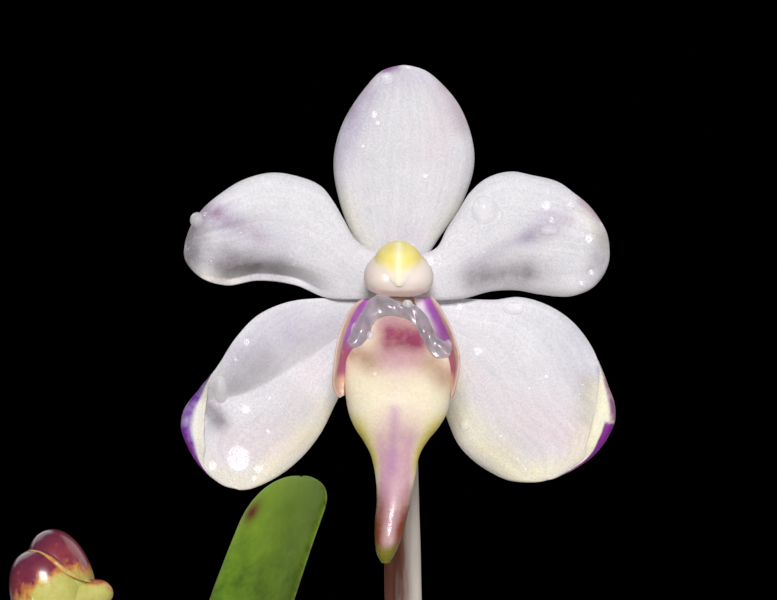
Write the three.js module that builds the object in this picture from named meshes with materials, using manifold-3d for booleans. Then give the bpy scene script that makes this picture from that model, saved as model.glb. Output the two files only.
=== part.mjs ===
// A compact Holcoglossum hybrid orchid in its clay pot: a fan of channelled leaves on a short
// stem, thick aerial roots, and one flower spike with an open flower, a large bud and a small
// bud. Millimetres, +Z up, the front of the flower faces -Y. The origin is the middle of the
// pot's underside.
import * as THREE from 'three';
import { mergeVertices } from 'three/addons/utils/BufferGeometryUtils.js';
import Module from 'manifold-3d';

const wasm = await Module();
wasm.setup();

// Clearance between pieces that touch in the real plant.
const GAP = 0.3;

// Clay pot, thrown with a raised band under the rim.
const POT_HEIGHT = 82;
const POT_FLOOR = 6;
const POT_BASE_RADIUS = 33;
const POT_RIM_RADIUS = 47.5;
const RIM_BAND_HEIGHT = 17;
const POT_WALL = 5;
const POT_INNER_BASE = 28;
const POT_INNER_TOP = 41.5;
const DRAIN_HOLE_RADIUS = 4.5;
const DRAIN_HOLE_CIRCLE = 17;
const DRAIN_HOLES = 4;

// Bark mix, below the rim so that water can stand on it.
const BARK_EDGE = 67.5;
const BARK_MIDDLE = 71;

// Stem, buried a little in the bark.
const STEM_FOOT = 57;
const STEM_TOP = 121.5;
const STEM_RADIUS_LOW = 3.2;
const STEM_RADIUS_HIGH = 1.6;

// Leaves: thickness, and how high above the last each next one stands on the stem.
const LEAF_THICKNESS = 1.5;
const LOWEST_LEAF = 84;
const LEAF_STEP = 4.6;

// Flower, measured from the middle of the column's foot.
const FLOWER = [28, -28, 238];
const TEPAL_THICKNESS = 0.8;
const PETAL_LAYER = 0.5;
const SEPAL_LAYER = 1.7;

const degrees = (angle) => (angle * Math.PI) / 180;
const vector = (p) => new THREE.Vector3(...p);
const curveThrough = (points) => new THREE.CatmullRomCurve3(points.map(vector), false, 'centripetal');

const material = (color, roughness) => new THREE.MeshStandardMaterial({ color, roughness, metalness: 0 });
const terracotta = material(0xb4664a, 0.9);
const bark = material(0x5b3a26, 0.95);
const stemGreen = material(0x7d8a4c, 0.6);
const leafGreen = material(0x4f7a2a, 0.45);
const velamen = material(0xb9bfa8, 0.8);
const spikeBrown = material(0x7a5a3c, 0.55);
const bractBrown = material(0x8a6a46, 0.8);
const pedicelPink = material(0xd9c4c0, 0.5);
const petalWhite = material(0xe9e6ea, 0.5);
const lipCream = material(0xf0dcae, 0.45);
const lobePurple = material(0x9a3fae, 0.45);
const crestGrey = material(0xb9b3ae, 0.35);
const columnBlush = material(0xf2dccd, 0.4);
const antherYellow = material(0xf6d64a, 0.4);
const budMaroon = material(0x7c2a3f, 0.3);
const budGreen = material(0xa9a34a, 0.35);

// Merges the vertices that share a place, so that the surface is closed.
function closed(geometry) {
  const bare = new THREE.BufferGeometry().setAttribute('position', geometry.getAttribute('position'));
  return mergeVertices(bare.setIndex(geometry.index), 1e-5);
}

// Moves each vertex of a closed geometry to place(vertex), and turns the faces round if that left
// them pointing in.
function reshaped(geometry, place) {
  const made = closed(geometry);
  const at = made.getAttribute('position');
  for (let i = 0; i < at.count; i++) {
    const point = place(new THREE.Vector3().fromBufferAttribute(at, i));
    at.setXYZ(i, point.x, point.y, point.z);
  }
  const index = made.index.array;
  const corner = (i) => new THREE.Vector3().fromBufferAttribute(at, index[i]);
  let volume = 0;
  for (let i = 0; i < index.length; i += 3) {
    volume += corner(i).dot(corner(i + 1).cross(corner(i + 2)));
  }
  for (let i = 0; volume < 0 && i < index.length; i += 3) {
    [index[i + 1], index[i + 2]] = [index[i + 2], index[i + 1]];
  }
  made.computeVertexNormals();
  return made;
}

// A sheet of even thickness: surface(u, v) runs along it for u from 0 to 1 and across it for v
// from -1 to 1. Rows are closer together towards the tip as crowding rises above 1.
function blade(surface, rows, columns, thickness, crowding = 1) {
  const step = 1e-3;
  return reshaped(new THREE.BoxGeometry(2, 1, 1, columns, 1, rows), ({ x: v, y: side, z }) => {
    const u = 1 - (0.5 - z) ** crowding;
    const along = surface(Math.min(u + step, 1), v).sub(surface(Math.max(u - step, 0), v));
    const across = surface(u, v + step).sub(surface(u, v - step));
    return surface(u, v).addScaledVector(across.cross(along).normalize(), side * thickness);
  });
}

// A round body along a smooth path. radius(t) is its radius at a share t of its length.
function tube(path, radius, steps, sides) {
  const curve = curveThrough(path);
  const frames = curve.computeFrenetFrames(steps, false);
  return reshaped(new THREE.CylinderGeometry(1, 1, 1, sides, steps), ({ x, y, z }) => {
    const t = THREE.MathUtils.clamp(y + 0.5, 0, 1);
    const i = Math.round(t * steps);
    return curve
      .getPointAt(t)
      .addScaledVector(frames.normals[i], radius(t) * x)
      .addScaledVector(frames.binormals[i], radius(t) * z);
  });
}

// A body of level elliptical rings, each [x, y, z, half width, half depth].
function stack(rings, sides) {
  const last = rings.length - 1;
  return reshaped(new THREE.CylinderGeometry(1, 1, 1, sides, last), (point) => {
    const [x, y, z, width, depth] = rings[Math.round((point.y + 0.5) * last)];
    return new THREE.Vector3(x + width * point.x, y + depth * point.z, z);
  });
}

function ellipsoid(centre, radii, segments = 16) {
  const geometry = new THREE.SphereGeometry(1, segments, segments / 2);
  return geometry.scale(...radii).translate(...centre);
}

function turned(profile, segments) {
  const points = profile.map(([radius, height]) => new THREE.Vector2(radius, height));
  return new THREE.LatheGeometry(points, segments).rotateX(Math.PI / 2);
}

function solidOf(geometry) {
  const merged = closed(geometry);
  return new wasm.Manifold(
    new wasm.Mesh({
      numProp: 3,
      vertProperties: new Float32Array(merged.attributes.position.array),
      triVerts: new Uint32Array(merged.index.array),
    }),
  );
}

// The first geometry with each of the others cut out of it.
function cut(geometry, ...tools) {
  const left = tools.reduce((solid, tool) => solid.subtract(solidOf(tool)), solidOf(geometry));
  const { vertProperties, triVerts } = left.getMesh();
  const made = new THREE.BufferGeometry();
  made.setAttribute('position', new THREE.BufferAttribute(vertProperties, 3));
  made.setIndex(new THREE.BufferAttribute(triVerts, 1));
  made.computeVertexNormals();
  return made;
}

const plant = new THREE.Group();
const flower = new THREE.Group();
flower.position.set(...FLOWER);
plant.add(flower);

function add(name, geometry, surface, parent = plant) {
  const mesh = new THREE.Mesh(geometry, surface);
  mesh.name = name;
  parent.add(mesh);
}

// Pot: one turned clay body with drain holes through its floor.
const innerRadius = (z) =>
  POT_INNER_BASE + ((z - POT_FLOOR) * (POT_INNER_TOP - POT_INNER_BASE)) / (POT_HEIGHT - POT_FLOOR);
const bandFoot = POT_HEIGHT - RIM_BAND_HEIGHT;
const potProfile = [
  [0, 0],
  [POT_BASE_RADIUS - 1.5, 0],
  [POT_BASE_RADIUS, 1.5],
  [innerRadius(bandFoot) + POT_WALL, bandFoot],
  [POT_RIM_RADIUS - 1.2, bandFoot + 0.6],
  [POT_RIM_RADIUS - 0.4, bandFoot + 2],
  [POT_RIM_RADIUS, POT_HEIGHT - 2.5],
  [POT_RIM_RADIUS - 0.8, POT_HEIGHT - 0.7],
  [POT_RIM_RADIUS - 2.4, POT_HEIGHT],
  [POT_INNER_TOP + 1, POT_HEIGHT],
  [POT_INNER_TOP, POT_HEIGHT - 1.2],
  [POT_INNER_BASE + 0.6, POT_FLOOR + 3],
  [POT_INNER_BASE - 3, POT_FLOOR],
  [0, POT_FLOOR],
];
const drainHoles = Array.from({ length: DRAIN_HOLES }, (_, i) => {
  const turn = degrees(45) + (2 * Math.PI * i) / DRAIN_HOLES;
  const hole = new THREE.CylinderGeometry(DRAIN_HOLE_RADIUS, DRAIN_HOLE_RADIUS, 4 * POT_FLOOR, 20);
  hole.rotateX(Math.PI / 2);
  return hole.translate(DRAIN_HOLE_CIRCLE * Math.cos(turn), DRAIN_HOLE_CIRCLE * Math.sin(turn), 0);
});
add('pot', cut(turned(potProfile, 48), ...drainHoles), terracotta);

// Aerial roots: [name, radius, path]. Four dive into the bark and two climb over the rim.
const outOverRim = (turn, lean) => {
  const at = (radius, z, side = 0) => [
    radius * Math.cos(turn) - side * Math.sin(turn),
    radius * Math.sin(turn) + side * Math.cos(turn),
    z,
  ];
  return [
    at(2, 79),
    at(12, 86, 1 * lean),
    at(27, 90, 2 * lean),
    at(42, 87.5, 0),
    at(50.4, 79, -1 * lean),
    at(50.6, 64, -1 * lean),
    at(46.8, 50, 1 * lean),
    at(44.6, 37, 5 * lean),
  ];
};
const roots = [
  ['root_front', 2.0, [[0.6, -2, 76.4], [4, -11, 80], [8, -19, 77], [10, -24, 70], [11, -26, 62]]],
  ['root_right', 1.8, [[2, -0.7, 74.6], [12, -4, 78], [21, -7, 75.5], [26, -9, 69], [28, -10, 62]]],
  ['root_left', 2.1, [[-2, 0.7, 75.6], [-12, 4, 80], [-20, 8, 77], [-24.5, 10, 70], [-26, 11, 61]]],
  ['root_back', 1.9, [[0.3, 2, 73.6], [-1, 12, 77], [-4, 20, 75], [-6, 25, 69], [-6, 27, 61]]],
  ['root_over_rim_front', 2.0, outOverRim(degrees(-122), 1)],
  ['root_over_rim_back', 1.9, outOverRim(degrees(58), -1)],
];
const rootTube = (radius, path) => tube(path, (t) => radius * (1 - 0.25 * t ** 6), 16, 8);

// Stem: a short upright axis that the leaf bases wrap, and that the roots stop short of.
const stemPath = [[0, 0, STEM_FOOT], [0, 0, (STEM_FOOT + STEM_TOP) / 2], [0, 0, STEM_TOP]];
const stemRadius = (t) => STEM_RADIUS_LOW + (STEM_RADIUS_HIGH - STEM_RADIUS_LOW) * t ** 3;
add('stem', tube(stemPath, stemRadius, 6, 12), stemGreen);
for (const [name, radius, path] of roots) {
  const stemRoom = tube(stemPath, (t) => stemRadius(t) + GAP, 6, 12);
  add(name, cut(rootTube(radius, path), stemRoom), velamen);
}

// Bark mix: fills the pot, and the stem and four roots stand in sockets in it.
const barkProfile = [
  [0, POT_FLOOR + GAP],
  [POT_INNER_BASE - 4, POT_FLOOR + GAP],
  [innerRadius(POT_FLOOR + 4) - 1, POT_FLOOR + 4],
  [innerRadius(BARK_EDGE) - GAP - 0.3, BARK_EDGE],
  [innerRadius(BARK_EDGE) - 8, BARK_EDGE + 1.6],
  [14, BARK_MIDDLE - 0.6],
  [0, BARK_MIDDLE],
];
const socketPath = [[0, 0, STEM_FOOT - GAP], [0, 0, 80], [0, 0, 100]];
const sockets = roots.slice(0, 4).map(([, radius, path]) => rootTube(radius + GAP + 0.1, [
  ...path.slice(0, -1),
  [path.at(-1)[0], path.at(-1)[1], path.at(-1)[2] - 0.8],
]));
add('bark_mix', cut(turned(barkProfile, 36), tube(socketPath, () => STEM_RADIUS_LOW + GAP, 2, 12), ...sockets), bark);

// Leaves: two ranks, up the stem by turns. Each is [turn of its plane about Z, distance of its
// keel from the stem's axis, lean from upright at the base, lean at the tip, length, half width,
// fold of its channel].
const leaves = [
  [226, 4.7, 52, 108, 104, 5.0, 30],
  [40, 4.7, 47, 100, 116, 5.2, 30],
  [222, 4.7, 39, 86, 128, 5.4, 30],
  [49, 4.7, 38, 88, 136, 5.4, 30],
  [229, 4.7, 28, 66, 138, 5.4, 32],
  [42, 4.6, 29, 76, 136, 5.4, 32],
  [221, 4.4, 16, 44, 126, 5.2, 32],
  [46, 3.4, 3, 25, 108, 5.2, 26],
  [226, 3.1, 5, 12, 66, 3.2, 36],
];

function leafSurface([turn, keel, leanLow, leanHigh, length, halfWidth, fold], foot) {
  const out = new THREE.Vector3(Math.cos(degrees(turn)), Math.sin(degrees(turn)), 0);
  const up = new THREE.Vector3(0, 0, 1);
  const across = new THREE.Vector3().crossVectors(up, out);
  const leanAt = (s) => degrees(leanLow + (leanHigh - leanLow) * s ** 1.4);
  const parts = 60;
  const line = [out.clone().multiplyScalar(keel).setZ(foot)];
  for (let i = 0; i < parts; i++) {
    const lean = leanAt((i + 0.5) / parts);
    const along = out.clone().multiplyScalar(Math.sin(lean)).addScaledVector(up, Math.cos(lean));
    line.push(line[i].clone().addScaledVector(along, length / parts));
  }
  return (u, v) => {
    const at = Math.min(Math.floor(u * parts), parts - 1);
    const middle = line[at].clone().lerp(line[at + 1], u * parts - at);
    const inward = out.clone().multiplyScalar(-Math.cos(leanAt(u))).addScaledVector(up, Math.sin(leanAt(u)));
    const rounding = Math.sqrt(1 - (0.96 * Math.max(0, (u - 0.94) / 0.06)) ** 2);
    const width = halfWidth * Math.min(1, 0.7 + 1.5 * u) * rounding;
    const rise = width * Math.tan(degrees(fold * (1 - 0.75 * u)));
    return middle.addScaledVector(across, v * width).addScaledVector(inward, rise * Math.abs(v) ** 1.4);
  };
}
leaves.forEach((leaf, i) => {
  const surface = leafSurface(leaf, LOWEST_LEAF + LEAF_STEP * i);
  add(`leaf_${i + 1}`, blade(surface, 13, 4, LEAF_THICKNESS, 1.6), leafGreen);
});

// Flower spike: breaks out between the two ranks of leaves, arches forward and stands up to its
// three nodes.
const spikePath = [
  [4.2, -4.1, 95],
  [8.2, -8.1, 104],
  [15.5, -15.8, 125],
  [22.6, -22.2, 151],
  [26.8, -25.2, 176],
  [28, -24.6, 190],
  [26.4, -23.8, 197.5],
  [26.2, -23.4, 203],
];
const spikeRadius = (t) => 1.7 - 0.8 * t;
add('flower_spike', tube(spikePath, spikeRadius, 22, 10), spikeBrown);

// Pedicel and ovary of the open flower, ending behind the middle of the flower.
const flowerPedicel = [
  [30.2, -23.9, 191.5],
  [30.4, -21.8, 199],
  [28.6, -20.3, 209],
  [28.2, -20.2, 220],
  [28.1, -20.8, 230],
  [28, -22.6, 236.4],
  [28, -24.8, 238.2],
];
const ovarySwell = (t) => 0.85 + 0.65 * Math.sin(Math.PI * Math.min(1, 0.08 + 0.95 * t)) ** 0.8;
add('flower_pedicel', tube(flowerPedicel, ovarySwell, 20, 12), pedicelPink);

// Pedicels of the two buds.
const budPedicel = [[24.6, -24.4, 197.6], [19, -25, 199.6], [12, -26.2, 203.5], [6.8, -27.4, 208], [4.6, -28, 212.4]];
add('large_bud_pedicel', tube(budPedicel, (t) => 0.75 + 0.35 * t, 12, 8), pedicelPink);
const smallBud = [25, -24.4, 208.2];
const smallBudPedicel = [[26.1, -23.5, 203.5], [25.8, -23.8, 204.8], [25.3, -24.2, 206.1]];
add('small_bud_pedicel', tube(smallBudPedicel, () => 0.6, 3, 8), pedicelPink);
add('small_bud', ellipsoid(smallBud, [1.5, 1.5, 1.75], 12), budMaroon);

// Bracts: a short pointed scale under each pedicel, and a sheath round the spike below them.
function bractSurface(foot, direction, outward, length, halfWidth) {
  const [along, out] = [vector(direction).normalize(), vector(outward).normalize()];
  const across = new THREE.Vector3().crossVectors(along, out).normalize();
  return (u, v) => {
    const width = halfWidth * Math.sqrt(1 - (0.95 * u) ** 2);
    return vector(foot)
      .addScaledVector(along, u * length)
      .addScaledVector(across, v * width)
      .addScaledVector(out, -0.5 * width * v * v + 0.9 * u * u);
  };
}
const bracts = [
  ['flower_bract', [30.6, -25.4, 187.6], [0.45, -0.45, 1], [0.6, -0.8, 0], 6.5, 1.5],
  ['large_bud_bract', [24.9, -25.5, 193.6], [-0.75, -0.25, 0.9], [-0.7, -0.7, -0.4], 5.6, 1.4],
];
for (const [name, ...shape] of bracts) {
  add(name, blade(bractSurface(...shape), 4, 4, 0.5), bractBrown);
}
function sheathGeometry(share, length) {
  const curve = curveThrough(spikePath);
  const foot = curve.getPointAt(share);
  const along = curve.getTangentAt(share);
  const side = new THREE.Vector3().crossVectors(along, new THREE.Vector3(0, 1, 0)).normalize();
  const front = new THREE.Vector3().crossVectors(along, side).normalize();
  const surface = (u, v) => {
    const radius = spikeRadius(share) + GAP + 0.45 + 0.5 * u;
    const turn = v * degrees(130) * (1 - 0.75 * u ** 1.5);
    return foot
      .clone()
      .addScaledVector(along, u * length)
      .addScaledVector(front, radius * Math.cos(turn))
      .addScaledVector(side, radius * Math.sin(turn));
  };
  return blade(surface, 4, 8, 0.5);
}
add('spike_sheath_low', sheathGeometry(0.2, 8), bractBrown);
add('spike_sheath_high', sheathGeometry(0.52, 7), bractBrown);

// Tepals: each row is [x, z] of one margin and [x, z] of the other, from base to tip, and
// depth(u, v) says how far behind the column's foot the blade lies.
function tepal(rows, depth) {
  const [one, other] = [0, 2].map((k) => curveThrough(rows.map((row) => [row[k], 0, row[k + 1]])));
  const surface = (u, v) => {
    const p = one.getPoint(u).lerp(other.getPoint(u), (v + 1) / 2);
    return p.setY(depth(u, v));
  };
  return blade(surface, 10, 6, TEPAL_THICKNESS);
}
const dorsalRows = [
  [-1.5, 1.2, 1.3, 1.2],
  [-3.1, 4.2, 2.8, 4.2],
  [-4.6, 7.4, 5.0, 7.4],
  [-4.9, 11, 5.4, 11],
  [-4.2, 13.8, 4.7, 13.8],
  [-2.7, 16, 3.2, 16],
  [-0.6, 17.3, 1.1, 17.3],
];
const petalLeftRows = [
  [-0.7, 2.2, -0.7, -0.2],
  [-3.2, 4.4, -3.7, 0.1],
  [-5.6, 7.9, -6.3, 0.5],
  [-8.9, 9.4, -9.1, 1.4],
  [-11.9, 8.8, -12.2, 1.2],
  [-14.6, 6.9, -14.7, 1.5],
  [-15.9, 5.0, -16, 3.4],
];
const petalRightRows = [
  [0.7, 2.2, 0.7, -0.2],
  [2.8, 4.1, 3.9, 0.1],
  [5.5, 8, 6.5, 0.6],
  [8.5, 9.6, 9.1, 0.8],
  [11.8, 8.8, 11.9, 0.5],
  [14.5, 6.6, 14.5, 1.3],
  [15.5, 4.4, 15.6, 3.1],
];
const lateralLeftRows = [
  [-1.5, -0.5, -0.5, -1.6],
  [-4.4, 0, -3.2, -3.6],
  [-8.4, -0.2, -4.7, -7.8],
  [-11.6, -2, -6.6, -10.9],
  [-14, -5.4, -9.4, -13.3],
  [-15.9, -8.4, -12.5, -14],
  [-15.8, -10.9, -14.8, -12.7],
];
const lateralRightRows = [
  [1.5, -0.5, 0.5, -1.6],
  [4.4, 0.1, 3.2, -3.6],
  [8.4, 0, 3.5, -8.2],
  [12, -0.9, 5, -11.6],
  [14.4, -3.6, 8.2, -13.4],
  [15.8, -7.6, 12, -13.1],
  [15.7, -9.8, 14.6, -11.4],
];
const tepals = [
  ['dorsal_sepal', dorsalRows, (u, v) => SEPAL_LAYER + 0.5 * u + 0.6 * v * v * u],
  ['petal_left', petalLeftRows, (u) => PETAL_LAYER - 0.6 * u * u],
  ['petal_right', petalRightRows, (u) => PETAL_LAYER - 0.6 * u * u],
  ['lateral_sepal_left', lateralLeftRows, (u, v) => SEPAL_LAYER - 0.9 * u * v * v],
  ['lateral_sepal_right', lateralRightRows, (u, v) => SEPAL_LAYER - 0.9 * u * v * v],
];
for (const [name, rows, depth] of tepals) {
  add(name, tepal(rows, depth), petalWhite, flower);
}

// Column, with the anther cap seated in its tip.
const capCentre = [-0.1, -3.4, 2.9];
const capRadii = [1.65, 1.5, 1.35];
const grown = (radii, by) => radii.map((radius) => radius + by);
const columnBody = ellipsoid([0, -2.6, 1.7], [2.4, 2.2, 2.2], 20);
add('column', cut(columnBody, ellipsoid(capCentre, grown(capRadii, GAP))), columnBlush, flower);
add('anther_cap', ellipsoid(capCentre, capRadii), antherYellow, flower);

// Lip: a scooped pouch that narrows into a blunt, downward spur-like tongue. Each ring is
// [x, y, z, half width, half depth].
const lipRings = [
  [0, -3.6, -1.6, 3.0, 2.6],
  [0, -3.9, -3.2, 3.9, 3.2],
  [0, -4.2, -5.4, 4.1, 3.4],
  [0, -4.7, -7.2, 4.0, 3.2],
  [-0.1, -5.2, -8.6, 3.5, 2.8],
  [-0.2, -5.5, -9.9, 2.6, 2.2],
  [-0.3, -5.7, -11.4, 1.75, 1.7],
  [-0.4, -5.9, -13.4, 1.4, 1.4],
  [-0.7, -6.1, -16, 1.1, 1.1],
  [-1.0, -6.3, -18, 0.8, 0.8],
  [-1.1, -6.4, -19.3, 0.35, 0.35],
];
const scoop = ellipsoid([0, -5.4, -2.6], [2.9, 3.6, 3.4], 16);
add('lip', cut(stack(lipRings, 16), scoop), lipCream, flower);

// Side lobes: two thin upright flaps that wall the lip's mouth.
function sideLobe(side) {
  const surface = (u, v) => {
    const x = side * (3.3 + 1.35 * Math.sin((Math.PI / 2) * Math.min(1, 0.05 + 1.2 * u)));
    return new THREE.Vector3(x, -3.9 + v * (2.4 - 1.2 * u * u), -0.4 - 4.6 * u);
  };
  return blade(surface, 8, 4, 0.5);
}
add('lip_side_lobe_left', sideLobe(-1), lobePurple, flower);
add('lip_side_lobe_right', sideLobe(1), lobePurple, flower);

// Crest: a wavy, translucent membrane that arches across the mouth under the column.
const crestArch = [[-2.2, -5.8, -2.5], [-1.7, -5.7, -1.4], [0, -5.6, -0.9], [1.7, -5.7, -1.4], [2.2, -5.8, -2.5]];
add('lip_crest', tube(crestArch, () => 0.35, 10, 8), crestGrey, flower);

// Large bud: closed sepals round a short spur, at the end of its pedicel.
const BUD = [2.4, -28, 216.6];
const budSpur = [[5.3, -28, 216.6], [6.0, -28.1, 216.7], [7.0, -28.2, 216.6]];
const budBody = ellipsoid(BUD, [3.2, 3.0, 3.7], 16);
const spurRoot = tube([[4.6, -28, 216.5], ...budSpur], () => 1.6, 6, 10);
add('large_bud', cut(budBody, spurRoot), budMaroon);
add('large_bud_spur', tube(budSpur, (t) => 1.3 - 0.5 * t * t, 5, 10), budGreen);

export default plant;
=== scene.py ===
"""The finished look of a potted orchid: clay pot, bark, roots, channelled leaves, and a spike with an
open white flower, a large bud and a small one. Sizes are in millimetres until a mesh is made."""

import bpy
import numpy as np
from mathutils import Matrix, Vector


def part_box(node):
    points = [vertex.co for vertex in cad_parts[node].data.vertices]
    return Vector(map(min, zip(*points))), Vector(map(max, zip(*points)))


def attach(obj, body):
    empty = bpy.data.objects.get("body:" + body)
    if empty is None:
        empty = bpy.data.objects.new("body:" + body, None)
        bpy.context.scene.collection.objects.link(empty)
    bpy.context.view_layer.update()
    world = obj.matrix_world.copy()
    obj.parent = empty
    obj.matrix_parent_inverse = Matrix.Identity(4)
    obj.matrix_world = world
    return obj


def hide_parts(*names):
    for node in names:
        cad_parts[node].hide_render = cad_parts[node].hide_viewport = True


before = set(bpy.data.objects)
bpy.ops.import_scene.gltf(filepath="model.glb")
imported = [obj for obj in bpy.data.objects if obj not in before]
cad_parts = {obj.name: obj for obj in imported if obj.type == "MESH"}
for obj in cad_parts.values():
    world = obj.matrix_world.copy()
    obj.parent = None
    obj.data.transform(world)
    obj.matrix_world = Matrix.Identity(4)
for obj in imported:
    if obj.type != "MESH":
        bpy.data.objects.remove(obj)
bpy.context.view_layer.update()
MM = 0.001


# Pot: thrown terracotta, unglazed, with a raised band below the rim that was pressed on while the
# clay was wet. The wheel left fine level ridges, and lime from the water has bloomed on its wall.
POT_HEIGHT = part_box("pot")[1][2] / MM
RIM_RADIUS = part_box("pot")[1][0] / MM
POT_FLOOR = 6
INNER_BASE = 28
INNER_TOP = 41.5
POT_WALL = 5
BAND_FOOT = POT_HEIGHT - 17
THROWING_PITCH = 1.9
THROWING_DEPTH = 0.05
FOOT_RADIUS = 33
# A body turned round the axis has a small first ring, which a fan closes.
CORE = 0.4


def inner_radius(z):
    """The radius of the pot's inside, which widens evenly from its floor to its mouth."""
    return INNER_BASE + (z - POT_FLOOR) * (INNER_TOP - INNER_BASE) / (POT_HEIGHT - POT_FLOOR)


def rounded(corners, reach):
    """A profile with each inner corner turned into a quadratic curve that starts and ends reach away."""
    corners = np.asarray(corners, float)
    before, corner, after = corners[:-2], corners[1:-1], corners[2:]
    gap_in = np.linalg.norm(before - corner, axis=1, keepdims=True)
    gap_out = np.linalg.norm(after - corner, axis=1, keepdims=True)
    start = corner + (before - corner) * np.minimum(reach / gap_in, 0.48)
    end = corner + (after - corner) * np.minimum(reach / gap_out, 0.48)
    t = np.linspace(0, 1, 7)[None, :, None]
    bends = (1 - t) ** 2 * start[:, None] + 2 * t * (1 - t) * corner[:, None] + t**2 * end[:, None]
    return np.concatenate([corners[:1], bends.reshape(-1, 2), corners[-1:]])


def resampled(profile, spacing):
    """The same profile with points put in so that none are further apart than spacing."""
    length = np.concatenate([[0], np.cumsum(np.linalg.norm(np.diff(profile, axis=0), axis=1))])
    wanted = np.unique(np.concatenate([length, np.arange(0, length[-1], spacing)]))
    return np.stack([np.interp(wanted, length, profile[:, k]) for k in (0, 1)], axis=1)


def circle(count):
    """Angles of evenly spaced points round a circle."""
    return np.linspace(0, 2 * np.pi, count, endpoint=False)


def turned(radius, height, turn):
    """Rings of a body turned round the pot's axis."""
    return np.stack([radius * np.cos(turn), radius * np.sin(turn), height + 0 * turn], axis=-1)


def skin(name, rings, masks=None):
    """A closed mesh over rings of points. rings[k, i, j] is point j of ring i of body k. Quads join each
    ring to the next and each ring's last point to its first, and a fan to the ring's middle closes
    each end. masks holds one value a point for each named attribute."""
    rings = np.asarray(rings, float)
    if rings.ndim == 3:
        rings = rings[None]
    bodies, n, m, _ = rings.shape

    def with_ends(values):
        """The values of every ring, then the mean of the first ring and that of the last."""
        flat = values.reshape(bodies, n * m, -1)
        ends = values.reshape(bodies, n, m, -1)[:, [0, -1]].mean(axis=2)
        return np.concatenate([flat, ends], axis=1).reshape(bodies * (n * m + 2), -1)

    points = with_ends(rings)
    j = np.arange(m)
    after = (j + 1) % m
    row = m * np.arange(n - 1)[:, None]
    quads = np.stack([row + j, row + after, row + m + after, row + m + j], axis=-1).reshape(-1, 4)
    first = np.stack([np.full(m, n * m), after, j], axis=-1)
    last = np.stack([np.full(m, n * m + 1), (n - 1) * m + j, (n - 1) * m + after], axis=-1)
    fans = np.concatenate([first, last])
    a, b, c, d = (points[quads[:, k]] for k in range(4))
    volume = np.einsum("ij,ij->", a, np.cross(b, c)) + np.einsum("ij,ij->", a, np.cross(c, d))
    if volume < 0:
        quads, fans = quads[:, ::-1], fans[:, ::-1]
    shift = (n * m + 2) * np.arange(bodies)[:, None, None]
    faces = (quads + shift).reshape(-1, 4).tolist() + (fans + shift).reshape(-1, 3).tolist()
    mesh = bpy.data.meshes.new(name)
    mesh.from_pydata(points * MM, [], faces)
    for label, values in (masks or {}).items():
        spread = np.broadcast_to(values, rings.shape[:-1])
        mesh.attributes.new(label, "FLOAT", "POINT").data.foreach_set("value", with_ends(spread).ravel())
    mesh.shade_smooth()
    piece = bpy.data.objects.new(name, mesh)
    bpy.context.collection.objects.link(piece)
    return piece


def linear(code):
    """An sRGB hex colour as linear red, green and blue with full alpha."""
    srgb = np.array([int(code[i : i + 2], 16) for i in (1, 3, 5)]) / 255
    return (*np.where(srgb <= 0.04045, srgb / 12.92, ((srgb + 0.055) / 1.055) ** 2.4), 1.0)


def connect(tree, made, **values):
    """Fills a node's inputs, named with underscores for spaces. A value is a number, a vector, an sRGB
    hex colour, an output, or a node, whose first output is meant."""
    for name, value in values.items():
        fill(tree, made.inputs[name.replace("_", " ")], value)


def fill(tree, socket, value):
    """Sets one input to a value, or links it, as connect says."""
    value = value.outputs[0] if isinstance(value, bpy.types.Node) else value
    if isinstance(value, bpy.types.NodeSocket):
        tree.links.new(value, socket)
    else:
        socket.default_value = linear(value) if isinstance(value, str) else value


def node(tree, kind, *first, **values):
    """Adds one node. The unnamed values fill its first inputs, the values named in small letters are
    its settings, and the others fill the inputs of their names."""
    made = tree.nodes.new("ShaderNode" + kind)
    for name in filter(str.islower, values):
        setattr(made, name, values[name])
    for socket, value in zip(made.inputs, first):
        fill(tree, socket, value)
    connect(tree, made, **{name: value for name, value in values.items() if not name.islower()})
    return made


def new_material(name, **constants):
    """A material, its node tree, its Principled shader, whose sockets hold the given constants, and the
    place of each point in the object."""
    made = bpy.data.materials.new(name)
    made.use_nodes = True
    tree = made.node_tree
    connect(tree, tree.nodes["Principled BSDF"], **constants)
    return made, tree, tree.nodes["Principled BSDF"], node(tree, "TexCoord").outputs["Object"]


def washed(tree, tint, washes, ragged):
    """A tint with colours mixed over it, each as strongly as the mask of its name times ragged."""
    for mask, code in washes.items():
        share = node(tree, "Attribute", attribute_name=mask).outputs["Fac"]
        tint = node(tree, "MixRGB", node(tree, "Math", share, ragged, operation="MULTIPLY"), tint, code)
    return tint


def per_mm(size):
    """The scale that makes a pattern's features this many millimetres wide."""
    return 1 / (size * MM)


def streaked(name, dark, light, size, squash, strength, depth, detail=4.0, **constants):
    """A material whose streaks run upwards: noise of a size in millimetres, drawn out along z, mixes two
    colours and raises a relief of a depth in millimetres. Returns what new_material does, and the noise
    and the mixed colour."""
    made, tree, shader, place = new_material(name, **constants)
    drawn_out = node(tree, "Mapping", Vector=place, Scale=(1, 1, squash))
    streak = node(tree, "TexNoise", Vector=drawn_out, Scale=per_mm(size), Detail=detail)
    tint = node(tree, "MixRGB", streak, dark, light)
    relief = node(tree, "Bump", Strength=strength, Distance=depth * MM, Height=streak)
    connect(tree, shader, Base_Color=tint, Normal=relief)
    return made, tree, shader, place, streak, tint


def put_on(piece, surface, slot, *cad_nodes):
    """Gives a piece its material, rides it on the plant and lets it stand for CAD nodes. The slot is not
    used.
    """
    piece.data.materials.append(surface)
    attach(piece, "root")
    if cad_nodes:
        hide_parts(*cad_nodes)


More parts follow.
